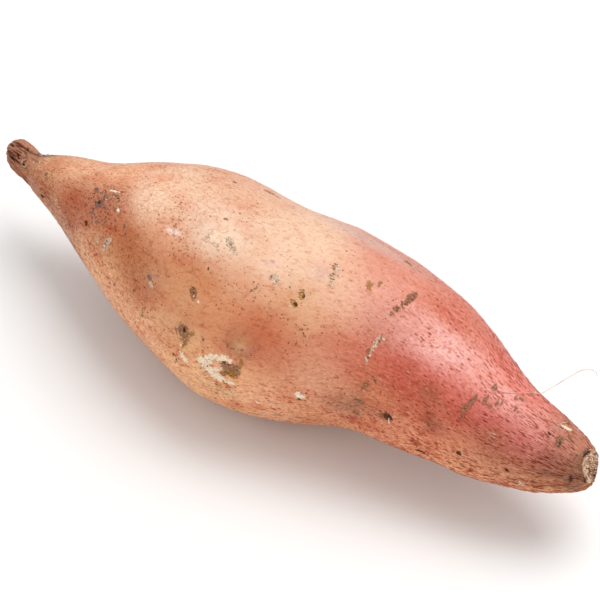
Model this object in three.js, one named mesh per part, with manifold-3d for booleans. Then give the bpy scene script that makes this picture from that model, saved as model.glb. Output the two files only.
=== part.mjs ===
// A sweet potato as dug up and trimmed: one spindle-shaped storage root that lies on its belly,
// with the knob of its stalk at -X and its trimmed root end at +X, and two dry rootlets on its skin.
// Millimetres, +Z up. The origin is under the middle of the whole thing, on the surface it lies on.
import * as THREE from "three";
import { mergeVertices } from "three/addons/utils/BufferGeometryUtils.js";
import Module from "manifold-3d";

const wasm = await Module();
wasm.setup();

// The root's outline: how far along its axis, and its radius there. Both ends close on the axis.
const OUTLINE = [
  [-105.6, 0],
  [-105.3, 2],
  [-104, 3.7],
  [-100, 4.5],
  [-95, 4.8],
  [-90, 6.5],
  [-84, 8.9],
  [-77, 11],
  [-70, 13.4],
  [-60, 17.9],
  [-50, 22],
  [-40, 25.7],
  [-28, 28.7],
  [-16, 30.4],
  [-2, 31.3],
  [10, 30.6],
  [20, 29.1],
  [30, 26.7],
  [40, 24.2],
  [52, 21.8],
  [62, 19.3],
  [72, 16.4],
  [82, 13.4],
  [90, 11.3],
  [97, 8.5],
  [101.4, 6.2],
  [103.8, 4.5],
  [104.6, 2.6],
  [104.6, 0],
];

// The line through the middle of the root: how far along, how far it sways to the back, and its height.
const SPINE = [
  [-106, 3.2, 31.9],
  [-95, 0.6, 30.9],
  [-80, 1.2, 30.1],
  [-68, 0.2, 29.9],
  [-50, -0.2, 29.5],
  [-30, -0.9, 29.2],
  [-5, -3.2, 28.6],
  [18, -0.3, 29.6],
  [40, 1.8, 31],
  [60, 1.4, 29],
  [76, -0.6, 26.6],
  [90, -0.2, 25.7],
  [98, 0.2, 25.8],
  [106, 0.4, 26],
];

// The root is a little wider than it is high: what its radius is multiplied by each way.
const WIDTH = 1.03;
const HEIGHT = 0.97;

const RINGS = 84;
const SIDES = 44;

// Soft hollows in the skin: where their middles are, along and around, and how long, wide and deep they are.
const HOLLOWS = [
  { along: -2, around: -62, long: 9, wide: 22, deep: 1.2 }, // between the belly and the second swelling
  { along: -70, around: -20, long: 16, wide: 30, deep: 1.1 }, // behind the shoulder
  { along: 30, around: 118, long: 14, wide: 26, deep: 1 }, // under the second swelling
  { along: 66, around: 60, long: 20, wide: 20, deep: 0.8 }, // on the front, towards the root end
  { along: 52, around: -110, long: 18, wide: 30, deep: 1.1 }, // on the back, towards the root end
];

// Lengthwise lobes: how many go round, how high they are for the radius, and how they twist along the root.
const LOBES = [
  { count: 2, height: 0.014, twist: 1 / 60, turn: 0 },
  { count: 3, height: 0.012, twist: -1 / 38, turn: 1 },
  { count: 5, height: 0.006, twist: 1 / 27, turn: 0 },
];

const ROOTLET_RADIUS = 0.25;
const ROOTLET_SIDES = 8;
const CLEARANCE = 0.35; // from a rootlet to the skin it lies on

// The long rootlet lies across the top of the root end (along, around), then leaves it and curls over (x, y, z).
const HAIR_ON_SKIN = [
  [75, 8],
  [77.2, -2],
  [79.4, -14],
  [80.8, -28],
  [81.4, -46],
];
const HAIR_IN_AIR = [
  [82.6, 14.1, 34.8],
  [84.2, 16.5, 36.2],
  [86, 18.3, 38.1],
  [87.8, 19.2, 40.2],
  [90, 19.3, 41.8],
  [92, 18.9, 42.7],
  [93, 18.5, 41.7],
];
const HAIR_STEPS = 40;

// The short rootlet is most of a ring, lying on the neck.
const CURL = { along: -94.6, around: 38, radius: 1.1, start: 100, turn: 250 };
const CURL_POINTS = 7;
const CURL_STEPS = 18;

const SKIN = new THREE.MeshStandardMaterial({ color: 0xd9906c, roughness: 0.55, metalness: 0 });
const ROOTLET = new THREE.MeshStandardMaterial({ color: 0xc9a67e, roughness: 0.7, metalness: 0 });

const rad = THREE.MathUtils.degToRad;
const outline = new THREE.SplineCurve(OUTLINE.map(([x, radius]) => new THREE.Vector2(radius, x)));
const outlinePoints = outline.getSpacedPoints(600);
const spine = new THREE.CatmullRomCurve3(SPINE.map((point) => new THREE.Vector3(...point)));
const spinePoints = spine.getPoints(400);

// The place in an ordered list of points where one coordinate, the axis, reaches a value.
function pointAt(points, axis, value) {
  const next = Math.max(1, points.findIndex((point) => point[axis] >= value));
  const before = points[next - 1];
  const share = (value - before[axis]) / (points[next][axis] - before[axis]);
  return before.clone().lerp(points[next], THREE.MathUtils.clamp(share, 0, 1));
}

// How far the skin stands in front of a plain round section: its lobes, less its hollows.
function relief(along, around, radius) {
  const lobes = LOBES.reduce(
    (sum, { count, height, twist, turn }) => sum + height * Math.cos(count * rad(around) + twist * along + turn),
    0,
  );
  const hollows = HOLLOWS.reduce((sum, hollow) => {
    const apart = THREE.MathUtils.euclideanModulo(around - hollow.around + 180, 360) - 180;
    const away = ((along - hollow.along) / hollow.long) ** 2 + (apart / hollow.wide) ** 2;
    return sum + hollow.deep * Math.exp(-away);
  }, 0);
  return radius * lobes - hollows * Math.min(1, radius / 10);
}

// A point at a distance from the spine. Around is in degrees: 0 is the top, 90 the front (-Y), 180 underneath.
function fromSpine(along, around, distance) {
  const middle = pointAt(spinePoints, "x", along);
  const y = middle.y - WIDTH * distance * Math.sin(rad(around));
  const z = middle.z + HEIGHT * distance * Math.cos(rad(around));
  return new THREE.Vector3(along, y, z);
}

// The middle of a rootlet that lies at a place on the skin.
function onSkin(along, around) {
  const radius = pointAt(outlinePoints, "y", along).x;
  return fromSpine(along, around, radius + relief(along, around, radius) + CLEARANCE + ROOTLET_RADIUS);
}

// The storage root: its outline turned round an axis, and each point of that moved to the spine and its relief.
function storageRoot() {
  const turned = new THREE.LatheGeometry(outline.getSpacedPoints(RINGS), SIDES);
  const position = turned.getAttribute("position");
  const point = new THREE.Vector3();
  for (let i = 0; i < position.count; i++) {
    point.fromBufferAttribute(position, i);
    const radius = Math.hypot(point.x, point.z);
    const around = THREE.MathUtils.radToDeg(Math.atan2(point.x, point.z));
    point.copy(fromSpine(point.y, around, radius + relief(point.y, around, radius)));
    position.setXYZ(i, point.x, point.y, point.z);
  }
  return turned;
}

// A closed mesh as a manifold solid, with its shared vertices merged.
function solidOf(geometry) {
  const bare = new THREE.BufferGeometry();
  bare.setAttribute("position", geometry.toNonIndexed().getAttribute("position"));
  const merged = mergeVertices(bare, 1e-3);
  const vertProperties = merged.getAttribute("position").array;
  const triVerts = new Uint32Array(merged.index.array);
  return new wasm.Manifold(new wasm.Mesh({ numProp: 3, vertProperties, triVerts }));
}

function geometryOf(solid) {
  const { vertProperties, triVerts } = solid.getMesh();
  const geometry = new THREE.BufferGeometry();
  geometry.setAttribute("position", new THREE.BufferAttribute(new Float32Array(vertProperties), 3));
  geometry.setIndex(new THREE.BufferAttribute(new Uint32Array(triVerts), 1));
  return geometry;
}

// The belly is pressed flat where the root lies: all that is below the surface is cut away.
function pressedFlat(geometry) {
  const below = new THREE.BoxGeometry(300, 120, 40).translate(0, 0, -20);
  return geometryOf(solidOf(geometry).subtract(solidOf(below)));
}

// A dry rootlet: a thin round strand through its points.
function rootlet(points, steps) {
  const section = new THREE.Shape().absarc(0, 0, ROOTLET_RADIUS, 0, 2 * Math.PI);
  const extrudePath = new THREE.CatmullRomCurve3(points);
  const options = { steps, curveSegments: ROOTLET_SIDES / 2, extrudePath, bevelEnabled: false };
  return new THREE.ExtrudeGeometry(section, options);
}

function hairRoot() {
  const onRoot = HAIR_ON_SKIN.map(([along, around]) => onSkin(along, around));
  const inAir = HAIR_IN_AIR.map((point) => new THREE.Vector3(...point));
  return rootlet([...onRoot, ...inAir], HAIR_STEPS);
}

function curledRootlet() {
  const degreesPerMm = 180 / (Math.PI * pointAt(outlinePoints, "y", CURL.along).x);
  const points = Array.from({ length: CURL_POINTS }, (_, i) => {
    const angle = rad(CURL.start + (CURL.turn * i) / (CURL_POINTS - 1));
    const along = CURL.along + CURL.radius * Math.cos(angle);
    return onSkin(along, CURL.around + CURL.radius * Math.sin(angle) * degreesPerMm);
  });
  return rootlet(points, CURL_STEPS);
}

function named(name, geometry, material) {
  const mesh = new THREE.Mesh(geometry, material);
  mesh.name = name;
  return mesh;
}

const sweetPotato = new THREE.Group();
sweetPotato.add(
  named("storage_root", pressedFlat(storageRoot()), SKIN),
  named("hair_root", hairRoot(), ROOTLET),
  named("curled_rootlet", curledRootlet(), ROOTLET),
);

// The origin goes under the middle of the whole thing.
const middle = new THREE.Box3().setFromObject(sweetPotato, true).getCenter(new THREE.Vector3());
sweetPotato.position.set(-middle.x, -middle.y, 0);

export default sweetPotato;
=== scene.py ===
"""A raw sweet potato: its skin, corky blemishes, pores, rootlets and cut fibres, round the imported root.

Places on the root are given as `along`, millimetres along +X from its middle, and `around`, degrees round its
length: 0 is the top, 90 the front (-Y), 180 the belly and 270 (or -90) the back.
"""

from __future__ import annotations

import itertools
import logging
import math
from dataclasses import dataclass, field
from enum import Enum
from functools import partial
from typing import Any

import bpy
import numpy as np
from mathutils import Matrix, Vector
from mathutils.bvhtree import BVHTree


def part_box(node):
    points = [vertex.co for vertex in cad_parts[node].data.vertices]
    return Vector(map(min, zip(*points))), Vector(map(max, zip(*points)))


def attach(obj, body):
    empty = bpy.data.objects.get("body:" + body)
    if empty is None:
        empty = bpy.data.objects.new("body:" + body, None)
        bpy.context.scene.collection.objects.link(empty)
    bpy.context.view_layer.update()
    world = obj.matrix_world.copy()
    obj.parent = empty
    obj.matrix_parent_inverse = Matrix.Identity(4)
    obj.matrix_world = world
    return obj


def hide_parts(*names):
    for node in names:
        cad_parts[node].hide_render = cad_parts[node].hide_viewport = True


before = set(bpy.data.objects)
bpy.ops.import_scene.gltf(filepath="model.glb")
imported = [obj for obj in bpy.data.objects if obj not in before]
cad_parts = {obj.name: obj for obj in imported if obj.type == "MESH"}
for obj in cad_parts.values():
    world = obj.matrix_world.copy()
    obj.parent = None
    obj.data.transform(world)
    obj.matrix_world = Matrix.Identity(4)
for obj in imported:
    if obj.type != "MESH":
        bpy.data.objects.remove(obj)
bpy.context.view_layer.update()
BODY = "root"
MM = 0.001
PER_SQUARE_METRE = 10000  # square centimetres in a square metre
log = logging.getLogger("sweet_potato")


def linear(colour: str) -> tuple[float, float, float, float]:
    """Turns an sRGB hex colour into linear light.

    Args:
        colour: Six hex digits, with a # in front.

    Returns:
        Red, green, blue and an alpha of 1.
    """
    shares = [int(colour[i : i + 2], 16) / 255 for i in (1, 3, 5)]
    red, green, blue = (s / 12.92 if s <= 0.04045 else ((s + 0.055) / 1.055) ** 2.4 for s in shares)
    return red, green, blue, 1.0


def add_node(tree: bpy.types.NodeTree, kind: str, inputs: dict[Any, Any], **settings: Any) -> bpy.types.Node:
    """Adds one node with its settings, and sets or links its inputs.

    Args:
        tree: The node tree.
        kind: The node's type name.
        inputs: For each input's name or number, the socket that feeds it or its value. A Mix takes its factor
            at 0 and its colours at 6 and 7. A Map Range maps the span from 1 to 2 onto that from 3 to 4.
        **settings: The node's own properties.

    Returns:
        The new node.
    """
    node = tree.nodes.new(kind)
    for name, value in settings.items():
        setattr(node, name, value)
    for key, value in inputs.items():
        if isinstance(value, bpy.types.NodeSocket):
            tree.links.new(value, node.inputs[key])
        else:
            node.inputs[key].default_value = value
    return node


def new_material(name: str) -> tuple[bpy.types.Material, bpy.types.NodeTree, bpy.types.Node]:
    """Starts a material.

    Args:
        name: Its name.

    Returns:
        The material, its node tree and its shader.
    """
    made = bpy.data.materials.new(name)
    made.use_nodes = True
    return made, made.node_tree, made.node_tree.nodes["Principled BSDF"]


def random_field(points: np.ndarray, size: float, seed: int) -> np.ndarray:
    """Gives each point a smooth random value, with bumps about one size across.

    Args:
        points: One row for each point, in millimetres; more dimensions are kept.
        size: How far apart the random values lie, in millimetres.
        seed: Which random field it is.

    Returns:
        A value from -1 to 1 for each point.
    """
    scaled = points / size + seed * 7.31
    cell = np.floor(scaled)
    part = scaled - cell
    blend = part * part * (3 - 2 * part)
    total = np.zeros(points.shape[:-1])
    for corner in itertools.product((0, 1), repeat=3):
        spot = (cell + corner).astype(np.int64) @ np.array([73856093, 19349663, 83492791]) + seed * 2654435761
        mixed = ((spot ^ (spot >> 13)) * 1274126177) & 0x7FFFFFFF
        value = ((mixed ^ (mixed >> 15)) & 0xFFFF) / 32767.5 - 1
        total += value * np.prod(np.where(corner, blend, 1 - blend), axis=-1)
    return total


def step(values: np.ndarray, low: float, high: float) -> np.ndarray:
    """Rises smoothly from 0 where a value is at or below low to 1 where it is at or above high."""
    share = np.clip((values - low) / (high - low), 0, 1)
    return share * share * (3 - 2 * share)


def soften(values: np.ndarray, width: float, axis: int, wrap: bool) -> np.ndarray:
    """Blurs a grid of values along one axis.

    Args:
        values: The grid.
        width: The blur's standard deviation, in steps of the grid.
        axis: The axis to blur along.
        wrap: Whether that axis joins up with itself.

    Returns:
        The blurred grid.
    """
    reach = math.ceil(3 * width)
    edges = [(reach, reach) if i == axis else (0, 0) for i in range(values.ndim)]
    padded = np.pad(values, edges, mode="wrap" if wrap else "edge")
    weights = np.exp(-0.5 * (np.arange(-reach, reach + 1) / width) ** 2)
    spots = np.arange(values.shape[axis])
    total = sum(w * np.take(padded, spots + i, axis=axis) for i, w in enumerate(weights))
    return total / weights.sum()


def ring_quads(rings: int, sides: int) -> list[tuple[int, ...]]:
    """Joins rings of points into a tube of quads.

    Args:
        rings: How many rings there are.
        sides: How many points each ring has.

    Returns:
        The point numbers of each quad.
    """
    number = np.arange(rings * sides).reshape(rings, sides)
    ahead = np.roll(number, -1, 1)
    quads = np.stack([number[:-1], ahead[:-1], ahead[1:], number[1:]], axis=2).reshape(-1, 4)
    return [tuple(quad) for quad in quads.tolist()]


def ring_edges(first: int, sides: int) -> list[tuple[int, int]]:
    """Gives the two point numbers of each edge of the ring that starts at the first point."""
    return [(first + i, first + (i + 1) % sides) for i in range(sides)]


def new_object(name: str, points: np.ndarray, faces: list[tuple[int, ...]]) -> bpy.types.Object:
    """Makes a smooth-shaded mesh object at the origin.

    Args:
        name: The piece's name.
        points: Its vertices, in millimetres.
        faces: The vertex numbers of each face, turning anticlockwise seen from outside.

    Returns:
        The object, linked to the scene.
    """
    mesh = bpy.data.meshes.new(name)
    mesh.from_pydata((points * MM).tolist(), [], faces)
    mesh.shade_smooth()
    made = bpy.data.objects.new(name, mesh)
    bpy.context.scene.collection.objects.link(made)
    return made


def paint(made: bpy.types.Object, name: str, values: np.ndarray) -> None:
    """Stores one number, vector or colour for each vertex as a named attribute.

    Args:
        made: The object.
        name: The attribute's name.
        values: A row for each vertex, of 1, 3 or 4 numbers.
    """
    kinds = {1: ("FLOAT", "value"), 3: ("FLOAT_VECTOR", "vector"), 4: ("FLOAT_COLOR", "color")}
    kind, key = kinds[1 if values.ndim == 1 else values.shape[1]]
    stored = made.data.attributes.new(name, kind, "POINT")
    stored.data.foreach_set(key, values.astype(np.float32).ravel())


def declare(made: bpy.types.Object, slot: str, *stands_for: str) -> None:
    """Rides a finished piece on the root's body, hides the CAD nodes that it replaces and logs its faces.

    Args:
        made: The piece.
        slot: The record's material slot; not used.
        *stands_for: The CAD nodes that it replaces.
    """
    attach(made, BODY)
    if stands_for:
        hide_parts(*stands_for)
    log.info("%s: %d faces", made.name, len(made.data.polygons))


class Layer(Enum):
    """What a blemish shows. The skin keeps each as an attribute of its own."""

    CORK = "cork"
    HUSK = "husk"
    PEEL = "peel"
    SLATE = "slate"
    RUST = "rust"
    OCHRE = "ochre"
    ROT = "rot"


@dataclass(frozen=True)
class Mark:
    """A blemish: an oval on the skin that is coloured by its layer, and raised or sunk.

    Attributes:
        layer: What it shows.
        along: Where its middle is, in millimetres.
        around: Where its middle is, in degrees.
        long: Half its longer width, in millimetres.
        wide: Half its shorter width, in millimetres.
        turn: How far its length turns from the root's length, in degrees.
        relief: How far a scab of it stands out, or how far it is sunk where negative, in millimetres.
        strength: How solid it is in the middle; under 0.5 it breaks up into specks.
    """

    layer: Layer
    along: float
    around: float
    long: float
    wide: float
    turn: float = 0.0
    relief: float = 0.0
    strength: float = 1.0


@dataclass(frozen=True)
class Zone:
    """A soft patch of skin colour.

    Attributes:
        along: Where its middle is, in millimetres.
        around: Where its middle is, in degrees.
        long: How far it reaches along the root, in millimetres.
        wide: How far it reaches across, in millimetres.
        colour: Its sRGB colour.
        strength: How much of the colour under it a wash hides.
    """

    along: float
    around: float
    long: float
    wide: float
    colour: str
    strength: float = 1.0


def marks(layer: Layer, *sizes: tuple[float, ...]) -> list[Mark]:
    """Makes the marks of one layer, each from the numbers that Mark takes, in its order."""
    return [Mark(layer, *numbers) for numbers in sizes]


SPECK_LENGTHS = (0.6, 1.6)  # how long specks of one scatter are, as a share of their mean
SPECK_WIDTHS = (0.4, 0.9)  # how wide a speck is, as a share of its length
SPECK_LEAN = 50  # how far a speck turns either way, in degrees
BEAD_SHIFTS = (0.4, 1)  # how far a row's marks lie out of line, in millimetres along and degrees around
BEAD_SIZES = (0.7, 1.3)  # how large they are, as a share of the row's own size
BEAD_LEAN = 12  # how far they turn out of line either way, in degrees


def sprinkle(layer: Layer, middle: tuple[float, float], spread: tuple[float, float], count: int, size: float,
             seed: int, **details: float) -> list[Mark]:
    """Scatters small marks over an oval.

    Args:
        layer: What they show.
        middle: Where the oval's middle is, along and around.
        spread: How far the oval reaches along, in millimetres, and around, in degrees.
        count: How many marks there are.
        size: Half the length of a mark, on average, in millimetres.
        seed: The seed of their places.
        **details: The relief and strength of each.

    Returns:
        The marks.
    """
    draw = np.random.default_rng(seed)
    made = []
    for _ in range(count):
        far, turn = math.sqrt(draw.random()), draw.uniform(0, 2 * math.pi)
        along = middle[0] + spread[0] * far * math.cos(turn)
        around = middle[1] + spread[1] * far * math.sin(turn)
        long = size * draw.uniform(*SPECK_LENGTHS)
        wide = long * draw.uniform(*SPECK_WIDTHS)
        lean = draw.uniform(-SPECK_LEAN, SPECK_LEAN)
        made.append(Mark(layer, along, around, long, wide, lean, **details))
    return made


def row(layer: Layer, places: list[tuple[float, float]], count: int, long: float, wide: float, turn: float,
        seed: int, **details: float) -> list[Mark]:
    """Sets marks one after another along a line of places, each a little out of line.

    Args:
        layer: What they show.
        places: The line's corners, along and around.
        count: How many marks there are.
        long: Half the length of each mark, in millimetres.
        wide: Half the width of each mark, in millimetres.
        turn: How far each mark turns from the root's length, in degrees.
        seed: The seed of their jitter.
        **details: The relief and strength of each.

    Returns:
        The marks.
    """
    draw = np.random.default_rng(seed)
    line = np.array(places)
    corners = np.linspace(0, 1, len(line))
    made = []
    for share in np.linspace(0, 1, count):
        place = [np.interp(share, corners, line[:, i]) for i in (0, 1)]
        place = [middle + draw.uniform(-shift, shift) for middle, shift in zip(place, BEAD_SHIFTS)]
        grown = draw.uniform(*BEAD_SIZES)
        lean = draw.uniform(-BEAD_LEAN, BEAD_LEAN)
        made.append(Mark(layer, *place, long * grown, wide * grown, turn + lean, **details))
    return made


@dataclass
class Surface:
    """The root's surface, without the solid's facets, as rings of points from the neck to the trimmed end.

    Attributes:
        rings: How many rings of points there are.
        sides: How many points each ring has.
        neck_cap: How far in from the neck's tip the first middle point lies, in millimetres.
        end_cap: The same at the trimmed end.
        crowding: How much closer the rings lie at both ends than on average.
        blur: How wide the facets are blurred, in points.
        stations: At how many places the root's middle line is found.
        slice_half: Half the thickness of the slice that is taken there, in millimetres.
        line_blur: How wide the middle line is blurred, in stations.
        even_radius: What the grain's radius has in common all along the root, in millimetres.
        clearance: How far the skin stays over the table top, in millimetres.
        walk: How far each ring lies from the neck's tip over the surface, in millimetres.
        theta: How far round each side lies, in radians.
        points: The points, in millimetres.
        out: The direction straight out at each point.
        ahead: The direction over the surface towards the trimmed end at each point.
        tips: The two end points, in millimetres.
    """

    rings: int = 418
    sides: int = 234
    neck_cap: float = 4.6
    end_cap: float = 5.4
    crowding: float = 0.3
    blur: float = 3.0
    stations: int = 70
    slice_half: float = 2.6
    line_blur: float = 2.0
    even_radius: float = 13.0
    clearance: float = 0.02
    walk: np.ndarray = field(init=False)
    theta: np.ndarray = field(init=False)
    points: np.ndarray = field(init=False)
    out: np.ndarray = field(init=False)
    ahead: np.ndarray = field(init=False)
    tips: np.ndarray = field(init=False)

    def __post_init__(self) -> None:
        """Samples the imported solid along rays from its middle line."""
        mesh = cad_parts["storage_root"].data
        corners = np.array([vertex.co for vertex in mesh.vertices]) / MM
        tree = BVHTree.FromPolygons(corners.tolist(), [polygon.vertices for polygon in mesh.polygons])
        low, high = (corner.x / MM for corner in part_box("storage_root"))
        start, stop = low + self.neck_cap, high - self.end_cap
        first, last = self.neck_cap * math.pi / 2, self.end_cap * math.pi / 2
        share = (np.arange(self.rings) + 0.5) / self.rings
        share -= self.crowding * np.sin(2 * math.pi * share) / (2 * math.pi)
        self.walk = share * (first + stop - start + last)
        along = np.clip(start + self.walk - first, start, stop)
        lean = np.clip((self.walk - first - stop + start) / self.end_cap, 0, None)
        lean -= np.clip((first - self.walk) / self.neck_cap, 0, None)
        self.theta = np.arange(self.sides) * 2 * math.pi / self.sides
        origins = self._middles(corners, along)
        rays = np.zeros((self.rings, self.sides, 3))
        rays[..., 0] = np.sin(lean)[:, None]
        rays[..., 1] = np.cos(lean)[:, None] * -np.sin(self.theta)
        rays[..., 2] = np.cos(lean)[:, None] * np.cos(self.theta)
        far = [[tree.ray_cast(Vector(o), Vector(ray))[3] for ray in ring] for o, ring in zip(origins, rays)]
        smooth = soften(soften(np.array(far), self.blur, 1, True), self.blur, 0, False)
        self.points = origins[:, None] + rays * smooth[..., None]
        reach = [(0, -smooth[0].mean()), (-1, smooth[-1].mean())]
        self.tips = np.array([origins[ring] + [far, 0, 0] for ring, far in reach])
        self._find_directions()

    def _middles(self, corners: np.ndarray, along: np.ndarray) -> np.ndarray:
        """Finds the middle line of the root.

        Args:
            corners: The solid's vertices, in millimetres.
            along: How far along each point is wanted, in millimetres.

        Returns:
            A point for each.
        """
        stations = np.linspace(along[0], along[-1], self.stations)
        found = []
        for station in stations:
            near = corners[np.abs(corners[:, 0] - station) < self.slice_half, 1:]
            found.append((near.min(axis=0) + near.max(axis=0)) / 2)
        line = soften(np.array(found), self.line_blur, 0, False)
        return np.stack([along, *(np.interp(along, stations, line[:, i]) for i in (0, 1))], axis=1)

    def _find_directions(self) -> None:
        """Works out which way is out and which way is ahead at each point."""
        sideways = np.roll(self.points, -1, 1) - np.roll(self.points, 1, 1)
        ahead = np.gradient(self.points, axis=0)
        out = np.cross(sideways, ahead)
        self.out = out / np.linalg.norm(out, axis=2, keepdims=True)
        self.ahead = ahead / np.linalg.norm(ahead, axis=2, keepdims=True)

    def grain(self) -> np.ndarray:
        """Straightens the surface, so that a pattern on it runs along the root and closes at both ends.

        Returns:
            Where each point lies on the straightened root, in millimetres.
        """
        section = self.points - self.points.mean(axis=1, keepdims=True)
        radius = self.even_radius + 0.5 * np.linalg.norm(section, axis=2).mean(axis=1, keepdims=True)
        walk = np.broadcast_to(self.walk[:, None], (self.rings, self.sides))
        return np.stack([walk, radius * np.sin(self.theta), radius * np.cos(self.theta)], axis=2)

    def nearest(self, along: float, around: float) -> tuple[int, int]:
        """The ring and the side of the point nearest to a place on the root."""
        side = round(around / 360 * self.sides) % self.sides
        return int(np.abs(self.points[:, side, 0] - along).argmin()), side

    def spot(self, along: float, around: float, lift: float = 0.0) -> np.ndarray:
        """A point on the surface, or lifted off it, in millimetres."""
        here = self.nearest(along, around)
        return self.points[here] + lift * self.out[here]

    def oval(self, mark: Mark) -> np.ndarray:
        """Measures how far each point lies from a mark's middle.

        Args:
            mark: The mark.

        Returns:
            For each point of each ring, 0 in the mark's middle, 1 on its edge and more outside it.
        """
        here = self.nearest(mark.along, mark.around)
        out, ahead = self.out[here], self.ahead[here]
        away = self.points - self.points[here]
        turn = math.radians(mark.turn)
        u, v = away @ ahead, away @ np.cross(ahead, out)
        u, v = u * math.cos(turn) + v * math.sin(turn), v * math.cos(turn) - u * math.sin(turn)
        through = np.abs(away @ out) > 0.4 * (mark.long + mark.wide) + 3
        return np.hypot(u / mark.long, v / mark.wide) + 9.0 * through

    def lift(self, heights: np.ndarray) -> None:
        """Moves each point straight out, but keeps it over the table top.

        Args:
            heights: How far each point goes, in millimetres.
        """
        self.points = self.points + self.out * heights[..., None]
        self.points[..., 2] = np.maximum(self.points[..., 2], self.clearance)
        self.tips[:, 0] += heights[[0, -1]].mean(axis=1) * [-1, 1]
        self._find_directions()

    def flat(self, values: np.ndarray) -> np.ndarray:
        """The ring values as one row for each vertex, with those of the two end points last."""
        rows = values.reshape(self.rings * self.sides, *values.shape[2:])
        return np.concatenate([rows, values[[0, -1]].mean(axis=1)])

    def between(self, ring: np.ndarray, side: np.ndarray) -> tuple[np.ndarray, np.ndarray]:
        """Finds points between the surface's own.

        Args:
            ring: The rings' numbers, with fractions.
            side: The sides' numbers, with fractions.

        Returns:
            The points, and the directions out of the surface there.
        """
        ring = np.clip(ring, 0, self.rings - 1.001)
        low_ring, low_side = np.floor(ring).astype(int), np.floor(side).astype(int)
        u, v = (ring - low_ring)[..., None], (side - low_side)[..., None]
        found = []
        for grid in (self.points, self.out):
            rows = []
            for i in (0, 1):
                left, right = (grid[low_ring + i, (low_side + j) % self.sides] for j in (0, 1))
                rows.append(left * (1 - v) + right * v)
            found.append(rows[0] * (1 - u) + rows[1] * u)
        return found[0], found[1]

    def mesh(self, name: str) -> bpy.types.Object:
        """Makes the closed skin out of quads, with a fan of triangles at each end.

        Args:
            name: The piece's name.

        Returns:
            The object.
        """
        total = self.rings * self.sides
        faces = ring_quads(self.rings, self.sides)
        faces += [(total, b, a) for a, b in ring_edges(0, self.sides)]
        faces += [(total + 1, a, b) for a, b in ring_edges(total - self.sides, self.sides)]
        return new_object(name, np.concatenate([self.points.reshape(-1, 3), self.tips]), faces)


@dataclass(frozen=True)
class Cut:
    """Where the root was trimmed.

    Attributes:
        middle: The middle of the cut, in millimetres.
        normal: The direction that it faces.
        radius: Its radius, in millimetres.
    """

    middle: tuple[float, float, float] = (103.3, 3.2, 28.8)
    normal: tuple[float, float, float] = (0.926, 0.204, 0.318)
    radius: float = 4.2


CUT = Cut()

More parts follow.
